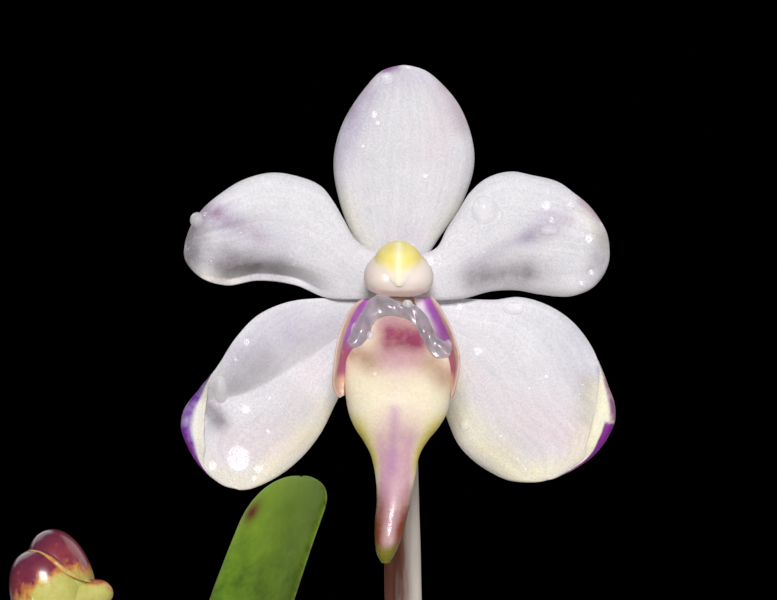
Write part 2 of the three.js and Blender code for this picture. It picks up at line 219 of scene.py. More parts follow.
pot_corners = [
    (CORE, 0),
    (FOOT_RADIUS, 0),
    (inner_radius(BAND_FOOT) + POT_WALL, BAND_FOOT),
    (RIM_RADIUS - 0.9, BAND_FOOT + 0.5),
    (RIM_RADIUS, POT_HEIGHT),
    (INNER_TOP, POT_HEIGHT),
    (INNER_BASE, POT_FLOOR),
    (CORE, POT_FLOOR),
]
pot_profile = resampled(rounded(pot_corners, 1.6), 0.7)
turn = circle(160)
radius, height = pot_profile[:, :1], pot_profile[:, 1:]
outside = np.clip((radius - inner_radius(height)) / POT_WALL, 0, 1)
ridges = THROWING_DEPTH * np.sin(2 * np.pi * height / THROWING_PITCH + 0.6 * np.sin(turn + height / 9))
wobble = 0.12 * np.sin(2 * turn + 0.8) * height / POT_HEIGHT
pot = skin("terracotta_pot", turned(radius + outside * ridges + wobble, height, turn))

# Fired clay with grog: matte, warm and slightly mottled, with pale lime in soft patches.
terracotta, t, shader, place = new_material("unglazed terracotta", Roughness=0.88, IOR=1.5)
firing = node(t, "TexNoise", Vector=place, Scale=per_mm(26), Detail=4.0)
grog = node(t, "TexNoise", Vector=place, Scale=per_mm(0.9), Detail=3.0)
lime = node(t, "TexNoise", Vector=place, Scale=per_mm(14), Detail=8.0, Roughness=0.68)
lime_edge = node(t, "MapRange", lime, 0.54, 0.72, 0, 0.62)
clay = node(t, "MixRGB", firing, "#a5532f", "#c97f57")
speckled = node(t, "MixRGB", 0.28, clay, grog.outputs["Color"], blend_type="SOFT_LIGHT")
bloomed = node(t, "MixRGB", lime_edge, speckled, "#d8c2ae")
grain = node(t, "Bump", Strength=0.35, Distance=0.15 * MM, Height=grog)
connect(t, shader, Base_Color=bloomed, Normal=grain)
put_on(pot, terracotta, "terracotta", "pot")


# Bark mix: fir bark in chips, poured round the roots, damp in places. A dark bed lies under the
# chips, so that no light shows between them.
BARK_TOP = 71
BARK_EDGE = 67.5
CHIP_COUNT = 300
CHIP_HALF_LENGTH = (2.6, 5.6)
CHIP_HALF_WIDTH = (1.7, 3.4)
CHIP_HALF_THICKNESS = (0.7, 1.6)
rng = np.random.default_rng(7)

bed_corners = [
    (CORE, POT_FLOOR + 0.3),
    (INNER_BASE - 4, POT_FLOOR + 0.3),
    (inner_radius(POT_FLOOR + 4) - 1, POT_FLOOR + 4),
    (inner_radius(BARK_EDGE) - 0.9, BARK_EDGE - 1.4),
    (14, BARK_TOP - 1.8),
    (CORE, BARK_TOP - 1.4),
]
bed_profile = resampled(rounded(bed_corners, 1.5), 2)
bed = skin("bark_bed", turned(bed_profile[:, :1], bed_profile[:, 1:], circle(72)))

# pick draws values between two limits for every chip, and squared gives an oval corners by the power 0.55.
pick = lambda low, high, *shape: rng.uniform(low, high, (CHIP_COUNT, *shape))
half = np.stack([pick(*CHIP_HALF_LENGTH), pick(*CHIP_HALF_WIDTH), pick(*CHIP_HALF_THICKNESS)], axis=-1)
# A chip is a squared oval swept from end to end, with each ring of it worn a little differently.
along = np.array([-1, -0.94, -0.6, 0, 0.6, 0.94, 1])[None, :, None]
girth = np.array([0.45, 0.85, 1, 1, 1, 0.85, 0.45])[None, :, None]
angle = circle(10)[None, None, :]
squared = lambda wave: np.sign(wave) * np.abs(wave) ** 0.55
worn = girth * pick(0.74, 1.1, 7, 10)
lengthwise = along + 0.16 * pick(-1, 1, 7, 10)
chips = np.stack([lengthwise, squared(np.cos(angle)) * worn, squared(np.sin(angle)) * worn], axis=-1)
chips = chips * half[:, None, None, :]
yaw, pitch, roll = pick(0, 2 * np.pi), pick(-0.35, 0.35), pick(-0.4, 0.4)
one, zero = np.ones(CHIP_COUNT), np.zeros(CHIP_COUNT)


def rotation(rows):
    """Rotation matrices, one a chip, from rows of arrays."""
    return np.moveaxis(np.array(rows), -1, 0)


spin = rotation([[np.cos(yaw), -np.sin(yaw), zero], [np.sin(yaw), np.cos(yaw), zero], [zero, zero, one]])
tip = rotation([[np.cos(pitch), zero, np.sin(pitch)], [zero, one, zero],
                [-np.sin(pitch), zero, np.cos(pitch)]])
rock = rotation([[one, zero, zero], [zero, np.cos(roll), -np.sin(roll)],
                 [zero, np.sin(roll), np.cos(roll)]])
chips = np.einsum("kab,kijb->kija", spin @ tip @ rock, chips)
reach = np.sqrt(rng.uniform(0.012, 1, CHIP_COUNT)) * (inner_radius(BARK_EDGE) - 5.6)
bearing = pick(0, 2 * np.pi)
chip_height = BARK_TOP - 1.0 - 2.6 * (reach / 33) ** 2 + pick(-0.9, 0.9)
lying = np.stack([reach * np.cos(bearing), reach * np.sin(bearing), chip_height], axis=-1)
chips = chips + lying[:, None, None, :]
tone = pick(0, 1)[:, None, None]
chip_pile = skin("bark_chips", chips, {"tone": tone})

# Fir bark: dry and fibrous, each chip its own brown, with dark cork lines about a millimetre apart.
bark, t, shader, place = new_material("fir bark", Roughness=0.92, IOR=1.45)
own_tone = node(t, "Attribute", attribute_name="tone").outputs["Fac"]
cork = node(t, "TexNoise", Vector=place, Scale=per_mm(1.4), Detail=6.0, Roughness=0.65, Distortion=0.6)
fresh = node(t, "MixRGB", own_tone, "#3c2417", "#8a5a38")
lined = node(t, "MixRGB", cork, "#20120b", fresh)
relief = node(t, "Bump", Strength=0.9, Distance=0.5 * MM, Height=cork)
connect(t, shader, Base_Color=lined, Normal=relief)
put_on(bed, bark, "bark", "bark_mix")
put_on(chip_pile, bark, "bark", "bark_mix")


# Stem: the short green axis that the leaves grew from, knuckled where old leaf bases fell away.
STEM_FOOT = 57
STEM_TOP = 121.5
STEM_RADIUS_LOW = 3.2
STEM_RADIUS_HIGH = 1.6
LEAF_STEP = 4.6


def unit(lines):
    """The same directions with length 1."""
    return lines / np.linalg.norm(lines, axis=-1, keepdims=True)


def curve_through(points, share):
    """A smooth curve through points, at the first for share 0 and the last for share 1. Between two of
    them it is the cubic whose end slopes are the slopes of the parabola through each three."""
    points = np.asarray(points, float)
    knots = np.concatenate([[0], np.cumsum(np.linalg.norm(np.diff(points, axis=0), axis=1))])
    knots = knots / knots[-1]
    slopes = np.gradient(points, knots, axis=0)
    share = np.asarray(share, float)
    i = np.clip(np.searchsorted(knots, share, side="right") - 1, 0, len(points) - 2)
    gap = (knots[i + 1] - knots[i])[..., None]
    t = (share[..., None] - knots[i][..., None]) / gap
    start = (1 + 2 * t) * (1 - t) ** 2 * points[i] + t * (1 - t) ** 2 * gap * slopes[i]
    end = t**2 * (3 - 2 * t) * points[i + 1] - t**2 * (1 - t) * gap * slopes[i + 1]
    return start + end


def carried(path, radius, share, around, side=(0, 1, 0)):
    """Rings of a profile carried along a path. At each share of the path the ring lies across its
    tangent, radius(share, turn) from it, and turn starts at the side direction."""
    before, after = np.maximum(share - 1e-3, 0), np.minimum(share + 1e-3, 1)
    tangent = unit(curve_through(path, after) - curve_through(path, before))
    across = unit(np.cross(tangent, side))
    forward = np.cross(across, tangent)
    turn = circle(around)
    reach = np.broadcast_to(radius(share[:, None], turn[None, :]), (len(share), around))[..., None]
    spoke = forward[:, None] * np.cos(turn)[None, :, None] + across[:, None] * np.sin(turn)[None, :, None]
    return curve_through(path, share)[:, None] + reach * spoke


def round_ends(share, low, high):
    """Shares of a full radius that close a body as a quarter circle does, over its first and its last
    stretch."""
    near = np.clip(1 - share / low, 0, 1) if low else 0
    far = np.clip((share - 1 + high) / high, 0, 1) if high else 0
    return np.sqrt(np.clip(1 - 0.999 * near**2, 0, 1)) * np.sqrt(np.clip(1 - 0.999 * far**2, 0, 1))


def eased(count):
    """Shares from 0 to 1 that crowd together at both ends as a cosine does."""
    return (1 - np.cos(np.pi * np.linspace(0, 1, count))) / 2


stem_path = [(0, 0, STEM_FOOT), (0, 0, 80), (0, 0, 100), (0, 0, STEM_TOP)]


def stem_radius(share, turn):
    """A taper by the cube of the share, with a bell-shaped knuckle for each leaf's step."""
    knuckle = 0.16 * np.exp(-(((share * (STEM_TOP - STEM_FOOT) / LEAF_STEP) % 1 - 0.5) ** 2) / 0.02)
    taper = STEM_RADIUS_LOW + (STEM_RADIUS_HIGH - STEM_RADIUS_LOW) * share**3
    return (taper + knuckle) * round_ends(share, 0.01, 0.02)


stem = skin("leafy_stem", carried(stem_path, stem_radius, eased(150), 28))
stem_skin, *_ = streaked("living stem under dry sheaths", "#5d6a30", "#a59a62", 0.8, 0.12, 0.4, 0.2,
                         Roughness=0.55, IOR=1.42)
put_on(stem, stem_skin, "stem", "stem")


# Aerial roots: thick and cord-like, wrapped in silvery velamen that wrinkles as it dries, and green
# where it is damp or growing. Four go down into the bark, and two climb over the rim.
ROOTS = {
    "root_front": (2.0, [(0.6, -2, 76.4), (4, -11, 80), (8, -19, 77), (10, -24, 70), (11, -26, 62)]),
    "root_right": (1.8, [(2, -0.7, 74.6), (12, -4, 78), (21, -7, 75.5), (26, -9, 69), (28, -10, 62)]),
    "root_left": (2.1, [(-2, 0.7, 75.6), (-12, 4, 80), (-20, 8, 77), (-24.5, 10, 70), (-26, 11, 61)]),
    "root_back": (1.9, [(0.3, 2, 73.6), (-1, 12, 77), (-4, 20, 75), (-6, 25, 69), (-6, 27, 61)]),
}
OVER_RIM = [(2, 79, 0), (12, 86, 1), (27, 90, 2), (42, 87.5, 0), (50.4, 79, -1), (50.6, 64, -1),
            (46.8, 50, 1), (44.6, 37, 5)]


def over_rim(bearing, lean):
    """A root's route out over the rim at a bearing in degrees, from distance, height and sideways lean."""
    out, up, side = np.array(OVER_RIM, float).T
    side = side * lean
    c, s = np.cos(np.radians(bearing)), np.sin(np.radians(bearing))
    return np.stack([out * c - side * s, out * s + side * c, up], axis=1)


ROOTS["root_over_rim_front"] = (2.0, over_rim(-122, 1))
ROOTS["root_over_rim_back"] = (1.9, over_rim(58, -1))

# Velamen: spongy dead cells full of air, so it is matte and nearly white, with fine lengthwise
# wrinkles. The growing tip has none, and shows glossy green.
velamen, t, shader, place = new_material("velamen", IOR=1.4)
tip_green = node(t, "Attribute", attribute_name="growing").outputs["Fac"]
wrinkle = node(t, "Attribute", attribute_name="wrinkle").outputs["Fac"]
patch = node(t, "TexNoise", Vector=place, Scale=per_mm(7), Detail=5.0, Roughness=0.6)
fine = node(t, "TexNoise", Vector=place, Scale=per_mm(0.5), Detail=3.0)
damp = node(t, "MapRange", patch, 0.42, 0.66)
dry = node(t, "MixRGB", damp, "#c9cabb", "#8f9b6c")
mottled = node(t, "MixRGB", 0.35, dry, fine.outputs["Color"], blend_type="SOFT_LIGHT")
coated = node(t, "MixRGB", tip_green, mottled, "#6f8f2f")
gloss = node(t, "MapRange", tip_green, 0, 1, 0.82, 0.3)
height = node(t, "Math", wrinkle, fine, operation="ADD")
relief = node(t, "Bump", Strength=0.5, Distance=0.15 * MM, Height=height)
connect(t, shader, Base_Color=coated, Roughness=gloss, Normal=relief)

for name, (thickness, path) in ROOTS.items():
    grows = 1.0 if "rim" in name else 0.0
    share = eased(160)

    def root_radius(share, turn):
        """Sine waves along and round an even cord, which thins with the power 6 of the share."""
        lumps = 1 + 0.05 * np.sin(share * 23 + 2 * np.sin(turn)) + 0.025 * np.sin(share * 61 + turn)
        creases = 1 - 0.02 * np.abs(np.sin(4.5 * turn + 3 * share))
        return thickness * lumps * creases * (1 - 0.22 * share**6) * round_ends(share, 0.02, 0.035)

    turn = circle(36)[None, :]
    growing = grows * np.clip((share[:, None] - 0.9) / 0.05, 0, 1)
    wrinkle = (1 - growing) * np.abs(np.sin(9 * turn + 5 * np.sin(share[:, None] * 12)))
    rings = carried(path, root_radius, share, 36, side=(0.31, 0.42, 0.85))
    root = skin("velamen_" + name, rings, {"growing": growing + 0 * turn, "wrinkle": wrinkle})
    put_on(root, velamen, "velamen", name)


# Leaves: leathery straps in two ranks, folded into a channel with a keel beneath, arching outwards
# and ending in a blunt tip that is a little uneven. Each grew from the heart of the fan.
LEAF_THICKNESS = 1.3
LOWEST_LEAF = 84
# Turn of the leaf's plane, keel's distance from the axis, lean at the base, lean at the tip, length,
# half width and fold, with angles in degrees.
LEAVES = [
    (226, 4.7, 52, 108, 104, 5.0, 30),
    (40, 4.7, 47, 100, 116, 5.2, 30),
    (222, 4.7, 39, 86, 128, 5.4, 30),
    (49, 4.7, 38, 88, 136, 5.4, 30),
    (229, 4.7, 28, 66, 138, 5.4, 32),
    (42, 4.6, 29, 76, 136, 5.4, 32),
    (221, 4.4, 16, 44, 126, 5.2, 32),
    (46, 3.4, 0.6, 29.6, 108.6, 5.4, 22),
    (226, 3.1, 5, 12, 66, 3.2, 36),
]


def blunt_edge(v, power):
    """A sheet's share of its full thickness: 1 in the middle, closed in a round end where v is 1."""
    return np.sqrt(np.clip(1 - np.abs(v) ** power, 0, 1))


def face_normal(middle):
    """Unit normals of a sheet: the cross product of the steps along it and across it, turned round if on
    the whole they look away from the viewer."""
    normal = np.cross(np.gradient(middle, axis=0), np.gradient(middle, axis=1))
    normal = normal / (np.linalg.norm(normal, axis=-1, keepdims=True) + 1e-12)
    return normal * np.where(normal[..., 1].mean() > 0, -1, 1)


def shell(middle, thickness):
    """Rings round a sheet. Its front and its back stand half the thickness to each side of the middle
    surface, along its normal, and meet at both margins. Each ring holds the front and then the back."""
    half = face_normal(middle) * thickness[..., None] / 2
    return np.concatenate([middle + half, (middle - half)[:, -2:0:-1]], axis=1)


def both_faces(front, back=None):
    """Masks given on a sheet's front and back, laid out on the rings that shell makes."""
    back = front if back is None else back
    return np.concatenate([front, back[:, -2:0:-1]], axis=1)


def leaf(turn, keel, lean_low, lean_high, length, half_width, fold, foot, seed):
    """A channelled strap. Its keel leaves the stem at a lean that grows with the power 1.4 of the
    distance, so it is the running sum of unit steps at that lean. Across it the blade rises from the
    keel with the power 1.4 of the distance from it, by the tangent of the fold."""
    turn = np.radians(turn)
    out, up = np.array([np.cos(turn), np.sin(turn), 0]), np.array([0.0, 0, 1])
    across = np.cross(up, out)
    fine = np.linspace(0, 1, 1201)
    lean = np.radians(lean_low + (lean_high - lean_low) * fine**1.4)
    steps = (out * np.sin(lean)[:, None] + up * np.cos(lean)[:, None]) * length / 1200
    line = out * keel + up * foot + np.concatenate([np.zeros((1, 3)), np.cumsum(steps[1:], axis=0)])
    u = 1 - (1 - np.linspace(0, 1, 150)) ** 1.7
    v = np.sin(np.linspace(-np.pi / 2, np.pi / 2, 41))[None, :]
    keel_line = np.stack([np.interp(u, fine, line[:, k]) for k in range(3)], axis=1)
    lean = np.radians(lean_low + (lean_high - lean_low) * u**1.4)[:, None]
    inward = np.sin(lean) * up - np.cos(lean) * out
    u = u[:, None]
    # One side of the tip ends a little before the other, as it does on these leaves.
    end = 0.045 + 0.012 * v * np.where(seed % 2, 1, -1)
    rounding = (1 - (0.9985 * np.clip((u - 1 + end) / end, 0, 1)) ** 2.4) ** (1 / 2.2)
    width = half_width * np.minimum(1, 0.7 + 1.5 * u) * rounding
    ripple = 0.22 * np.sin(u * (9 + seed) + seed) * np.abs(v) ** 3 * np.sign(v)
    rise = width * np.tan(np.radians(fold * (1 - 0.75 * u))) * np.abs(v) ** 1.4 + ripple
    middle = keel_line[:, None] + across * (v * width)[..., None] + inward[:, None] * rise[..., None]
    body = LEAF_THICKNESS * (0.5 + 0.5 * np.exp(-((v / 0.22) ** 2)) * (1 - 0.6 * u))
    thickness = body * blunt_edge(v, 14) * np.sqrt(rounding)
    rings = shell(middle, thickness)
    scorch_along, scorch_across = (0.96, 0.78) if seed % 2 else (0.5 + 0.05 * seed, -0.8)
    scorch = np.exp(-(((u - scorch_along) / 0.011) ** 2) - ((v - scorch_across) / 0.16) ** 2)
    masks = {"along": u + 0 * v, "across": v + 0 * u, "scorch": scorch}
    return rings, {key: both_faces(values) for key, values in masks.items()}


# Living leaf: waxy cuticle over green tissue. Veins run its length a third of a millimetre apart,
# the margin flushes red in the sun, and the base is paler where it was shaded.
leaf_skin, t, shader, place = new_material("waxy leaf blade", IOR=1.42, Subsurface_Weight=0.12,
                                           Subsurface_Scale=1.2 * MM, Coat_Weight=0.06,
                                           Coat_Roughness=0.35, Subsurface_Radius=(0.5, 1.0, 0.2))
along = node(t, "Attribute", attribute_name="along").outputs["Fac"]
across = node(t, "Attribute", attribute_name="across").outputs["Fac"]
blotch = node(t, "TexNoise", Vector=place, Scale=per_mm(5), Detail=6.0, Roughness=0.66)
fleck = node(t, "TexNoise", Vector=place, Scale=per_mm(1.3), Detail=5.0, Roughness=0.7)
vein_place = node(t, "Math", across, 26.0, operation="MULTIPLY")
vein = node(t, "TexWave", Vector=node(t, "CombineXYZ", X=vein_place), Scale=0.32, Distortion=0.4,
            wave_type="BANDS", bands_direction="X")
mottle = node(t, "MapRange", blotch, 0.34, 0.66)
green = node(t, "MixRGB", mottle, "#4f7a1f", "#a6cf3c")
# Painted light: the leaf's tip is painted a lighter yellow-green.
painted_light_tip = node(t, "MapRange", along, 0.89, 0.98, 0, 0.7)
painted_lit_green = node(t, "MixRGB", painted_light_tip, green, "#b4dc46")
base_pale = node(t, "MapRange", along, 0.16, 0.0, 0, 0.75)
shaded = node(t, "MixRGB", base_pale, painted_lit_green, "#b3b676")
lined = node(t, "MixRGB", 0.12, shaded, vein, blend_type="OVERLAY")
edge = node(t, "Math", across, operation="ABSOLUTE")
flush_edge = node(t, "MapRange", edge, 0.86, 0.99)
flush_spot = node(t, "MapRange", fleck, 0.5, 0.68, 0, 0.8)
flush = node(t, "Math", flush_edge, flush_spot, operation="MULTIPLY")
scorch = node(t, "Attribute", attribute_name="scorch").outputs["Fac"]
reddened = node(t, "Math", flush, scorch, operation="MAXIMUM")
flushed = node(t, "MixRGB", reddened, lined, "#7a2a1c")
wax = node(t, "MapRange", blotch, 0, 1, 0.42, 0.6)
relief_height = node(t, "MixRGB", 0.4, vein, fleck.outputs["Color"])
relief = node(t, "Bump", Strength=0.25, Distance=0.1 * MM, Height=relief_height)
connect(t, shader, Base_Color=flushed, Roughness=wax, Normal=relief)

for i, sizes in enumerate(LEAVES):
    rings, masks = leaf(*sizes, LOWEST_LEAF + LEAF_STEP * i, i)
    put_on(skin(f"strap_leaf_{i + 1}", rings, masks), leaf_skin, "leaf", f"leaf_{i + 1}")


# Flower spike: a wiry olive-brown stalk that broke out between the leaf ranks, with a knuckle at
# each node. Papery sheaths and bracts, long dry, are held at the nodes by their bases.
SPIKE = [(4.2, -4.1, 95), (8.2, -8.1, 104), (15.5, -15.8, 125), (22.6, -22.2, 151), (26.8, -25.2, 176),
         (28, -24.6, 190), (26.4, -23.8, 197.5), (26.2, -23.4, 203)]
SPIKE_NODES = np.array([0.2, 0.52, 0.86, 0.945])
SPIKE_RADIUS = 1.7
SPIKE_TAPER = 0.8
SCALE_THICKNESS = 0.34


def spike_radius(share, turn):
    """An even taper, with a bell-shaped knuckle at each node."""
    knuckles = 0.22 * np.exp(-(((share[..., None] - SPIKE_NODES) / 0.008) ** 2)).sum(-1)
    return (SPIKE_RADIUS - SPIKE_TAPER * share + knuckles) * round_ends(share, 0.006, 0.01)


spike = skin("olive_spike", carried(SPIKE, spike_radius, np.linspace(0, 1, 320), 24))
spike_skin, t, shader, place, streak, olive = streaked("spike skin", "#4c4a20", "#8a6a3e", 1.2, 0.2, 0.3,
                                                       0.1, Roughness=0.42, IOR=1.43)
dot = node(t, "TexNoise", Vector=place, Scale=per_mm(0.45), Detail=2.0)
dots = node(t, "MapRange", dot, 0.6, 0.7)
connect(t, shader, Base_Color=node(t, "MixRGB", dots, olive, "#4a2420"))
put_on(spike, spike_skin, "spike", "flower_spike")


def bract(foot, direction, outward, length, half_width):
    """A pointed scale: its half width falls from the foot as the side of an ellipse, it bends outwards
    with the square of the distance, and its sides wrap back with the square of v."""
    along, out = unit(direction), unit(outward)
    across = unit(np.cross(along, out))
    u, v = eased(36)[:, None], np.sin(np.linspace(-np.pi / 2, np.pi / 2, 19))[None, :]
    width = half_width * np.sqrt(1 - (0.995 * u) ** 2) * np.minimum(1, 0.6 + 3 * u)
    back = -0.55 * width * v**2 + 0.9 * u**2 + 0.06 * np.sin(9 * u + 4 * v)
    middle = np.asarray(foot) + along * (u * length)[..., None] + across * (v * width)[..., None]
    middle = middle + out * back[..., None]
    thickness = SCALE_THICKNESS * blunt_edge(v, 8) * np.sqrt(1 - 0.98 * u**6)
    return shell(middle, thickness + 0 * u)


def sheath(share, length):
    """A scale rolled round the spike: it wraps 130 degrees to each side at its foot, narrows to its
    point, and stands off further as it rises."""
    foot = curve_through(SPIKE, np.array([share]))[0]
    along = unit(curve_through(SPIKE, np.array([share + 1e-3]))[0] - foot)
    side = unit(np.cross(along, (0, 1, 0)))
    front = np.cross(along, side)
    u, v = eased(36)[:, None], np.linspace(-1, 1, 33)[None, :]
    radius = SPIKE_RADIUS - SPIKE_TAPER * share + 0.55 + 0.5 * u
    turn = v * np.radians(130) * (1 - 0.93 * u**1.5)
    middle = (foot + along * (u * length + 0 * v)[..., None] + front * (radius * np.cos(turn))[..., None]
              + side * (radius * np.sin(turn))[..., None])
    return shell(middle, SCALE_THICKNESS * blunt_edge(v, 8) + 0 * u)


# Dry bract: paper-thin and brown, with darker fibres a quarter of a millimetre apart.
bract_skin, *_ = streaked("dry papery bract", "#5e4226", "#b3935f", 0.5, 0.15, 0.5, 0.1, Roughness=0.75,
                          IOR=1.4, Subsurface_Weight=0.1, Subsurface_Scale=0.4 * MM)
scales = {
    "flower_bract": bract((30.6, -25.4, 187.6), (0.45, -0.45, 1), (0.6, -0.8, 0), 6.5, 1.5),
    "large_bud_bract": bract((24.9, -25.5, 193.6), (-0.75, -0.25, 0.9), (-0.7, -0.7, -0.4), 5.6, 1.4),
    "spike_sheath_low": sheath(0.2, 8),
    "spike_sheath_high": sheath(0.52, 7),
}
for name, rings in scales.items():
    put_on(skin("papery_" + name, rings), bract_skin, "bract", name)


# Pedicels: each flower and bud hangs on its own stalk. The open flower's swells into a ribbed ovary,
# nearly white on one side and red-brown on the other, partly its own flush and partly painted shade; the
# buds' are thin and plain.
FLOWER_PEDICEL = [(30.2, -23.9, 191.5), (30.4, -21.8, 199), (28.6, -20.3, 209), (28.2, -20.2, 220),
                  (28.1, -20.8, 230), (28, -22.6, 236.4), (28, -24.8, 238.2)]
BUD_PEDICEL = [(24.6, -24.4, 197.6), (19, -25, 199.6), (12, -26.2, 203.5), (6.8, -27.4, 208),
               (4.6, -28, 212.4)]
SMALL_PEDICEL = [(26.1, -23.5, 203.5), (25.8, -23.8, 204.8), (25.3, -24.2, 206.1)]
RIBS = 6


def ovary_radius(share, turn):
    """A sine swell along it, and a cosine round it for the ribs."""
    swell = 0.85 + 0.65 * np.sin(np.pi * np.minimum(1, 0.08 + 0.95 * share)) ** 0.8
    return swell * (1 + 0.07 * np.cos(RIBS * turn)) * round_ends(share, 0.01, 0.01)


pedicel_skin, t, shader, place, streak, pale = streaked("waxy pedicel", "#b2a79b", "#efe8e2", 0.7, 0.12,
                                                        0.3, 0.1, 5.0, Roughness=0.4, IOR=1.43,
                                                        Subsurface_Weight=0.15, Subsurface_Scale=0.8 * MM)
flush_and_painted_shade = node(t, "Attribute", attribute_name="flushed").outputs["Fac"]
flush = node(t, "MixRGB", streak, "#43201b", "#8a5546")
amount = node(t, "Math", streak, flush_and_painted_shade, operation="ADD")
border = node(t, "MapRange", amount, 0.75, 1.2)
connect(t, shader, Base_Color=node(t, "MixRGB", border, pale, flush))

# The large bud's stalk widens evenly towards the bud, and the small bud's is even.
thin_radius = lambda s, a: (0.75 + 0.35 * s) * round_ends(s, 0.02, 0.02) + 0 * a
short_radius = lambda s, a: 0.6 * round_ends(s, 0.1, 0.1) + 0 * a
stalks = {
    "flower_pedicel": (FLOWER_PEDICEL, ovary_radius, 220, 48),
    "large_bud_pedicel": (BUD_PEDICEL, thin_radius, 120, 24),
    "small_bud_pedicel": (SMALL_PEDICEL, short_radius, 40, 20),
}
for name, (path, radius, steps, around) in stalks.items():
    share = np.linspace(0, 1, steps)
    turn = circle(around)[None, :]
    rings = carried(path, radius, share, around, side=(0, 1, 0.02))
    # One side of the flower's pedicel is painted red-brown: partly its own flush, partly painted shade.
    flush_and_painted_side_shade = 0.42 + 0.4 * np.sin(turn - 0.4) if name == "flower_pedicel" else 0.85
    put_on(skin("waxy_" + name, rings, {"flushed": flush_and_painted_side_shade + 0 * share[:, None]}), pedicel_skin,
           "pedicel", name)


# The open flower. It is set out from the middle of the column's foot, with x to the right of it, z up,
# and y away from the viewer.
FLOWER = np.array([28.0, -28.0, 238.0])


def step_between(value, low, high):
    """0 below low, 1 above high, and a smooth cubic step between."""
    t = np.clip((value - low) / (high - low), 0, 1)
    return t * t * (3 - 2 * t)


# Tepals: two petals and three sepals, white and crystalline, thick in the middle and thin at the
# margins. They grew from the ovary's end behind the column, the sepals behind the petals, and the
# two lateral sepals have a stretch of margin rolled in, which shows its violet back.
TEPAL_THICKNESS = 0.55
PETAL_LAYER = 0.1
SEPAL_LAYER = 1.2


def near(x, z, start, end, size):
    """A soft mask: the bell curve of the distance from a line between two points, of the given size."""
    start, end = np.array(start, float), np.array(end, float)
    line = end - start
    along = ((x - start[0]) * line[0] + (z - start[1]) * line[1]) / max(line @ line, 1e-9)
    along = np.clip(along, 0, 1)
    off_x, off_z = x - start[0] - along * line[0], z - start[1] - along * line[1]
    return np.exp(-(off_x**2 + off_z**2) / size**2)


def between(value, a, b, c, d):
    """0 up to a, 1 from b to c, and 0 again from d, with smooth steps."""
    return step_between(value, a, b) - step_between(value, c, d)


def tepal(one, other, slope, depth):
    """A tepal between two margins, each given from base to tip as x and z. Its section is a strip of
    even steps whose slope angle is slope(u, v), so its run and its fall are the running sums of the
    angle's cosine and sine. The run is then stretched to reach from margin to margin."""
    u = (1 - (1 - np.linspace(0, 1, 150)) ** 1.5)[:, None]
    v = np.sin(np.linspace(-1, 1, 161) * 1.35)[None, :] / np.sin(1.35)
    step = np.gradient(v, axis=1)
    lean = slope(u, v) + 0 * u * v
    run, fall = np.cumsum(np.cos(lean) * step, axis=1), np.cumsum(np.sin(lean) * step, axis=1)
    low, high = run.min(axis=1, keepdims=True), run.max(axis=1, keepdims=True)
    start, end = curve_through(one, u[:, 0]), curve_through(other, u[:, 0])
    width = np.linalg.norm(end - start, axis=1, keepdims=True)
    share = ((run - low) / (high - low))[..., None]
    flat = start[:, None] * (1 - share) + end[:, None] * share
    y = depth(u) + (fall - fall[:, 80:81]) * width / (high - low)
    middle = np.stack([flat[..., 0], y, flat[..., 1]], axis=-1)
    rim = blunt_edge(v, 16)
    end_rim = np.sqrt(np.clip(1 - 0.995 * u**30, 0, 1))
    thickness = TEPAL_THICKNESS * (0.55 + 0.45 * (1 - v**2)) * rim * end_rim * (1 - 0.3 * u)
    return middle, thickness, u + 0 * v, v + 0 * u


def curled_back(v, amount=0.85):
    """The slope of margins that curl away from the viewer over the outer third of each side."""
    return amount * np.sign(v) * step_between(np.abs(v), 0.7, 1.05)


def into_roll(u, v, width, *reach):
    """How far across a rolled margin a point lies: 0 at its edge, 0.5 where the turn begins, and 1
    where it joins the blade. The rolled strip widens from nothing to the given width and back."""
    return (1 - np.abs(v)) / np.maximum(width * between(u, *reach), 1e-3)


LEFT_ROLL = (0.47, 0.55, 0.74, 0.77, 0.93)
RIGHT_ROLL = (0.45, 0.56, 0.76, 0.78, 0.97)


def dorsal_slope(u, v):
    """A bow whose slope grows evenly across, margins that curl back, and a faint sine wave."""
    return 0.3 * v + curled_back(v) + 0.05 * np.sin(9 * v + 3 * u)


def left_petal_slope(u, v):
    """An even bow, a groove inside the lower margin, which turns up again, a bell-shaped crease down
    the middle, a far end that falls away and an upper margin that curls back."""
    groove = between(v, 0.3, 0.6, 0.8, 0.9) * between(u, 0.2, 0.42, 0.7, 0.84)
    crease = 0.35 * np.exp(-(((v + 0.1 + 0.22 * u) / 0.09) ** 2)) * between(u, 0.45, 0.65, 0.9, 1)
    lip_up = 0.55 * between(v, 0.86, 0.92, 0.97, 1) * between(u, 0.2, 0.4, 0.75, 0.9)
    ends = 0.35 * step_between(v, -0.4, 1) * step_between(u, 0.75, 1)
    return 0.14 * v + 0.85 * groove - lip_up + crease + ends + curled_back(v, 0.7) * (v < 0)


def right_petal_slope(u, v):
    """An even bow, a bell-shaped crease that crosses it on a slant, a lower half that falls away, and
    margins that curl back."""
    crease_line = 0.71 - 1.13 * u
    crease = 0.3 * np.exp(-(((v - crease_line + 0.05) / 0.11) ** 2)) * between(u, 0.25, 0.4, 0.62, 0.75)
    shade = 0.35 * between(v, 0.2, 0.45, 0.62, 0.85) * between(u, 0.2, 0.38, 0.55, 0.7)
    low = 0.5 * step_between(v, 0.72, 1) * step_between(u, 0.4, 0.6)
    return 0.14 * v + crease + shade + low + curled_back(v, 0.6)


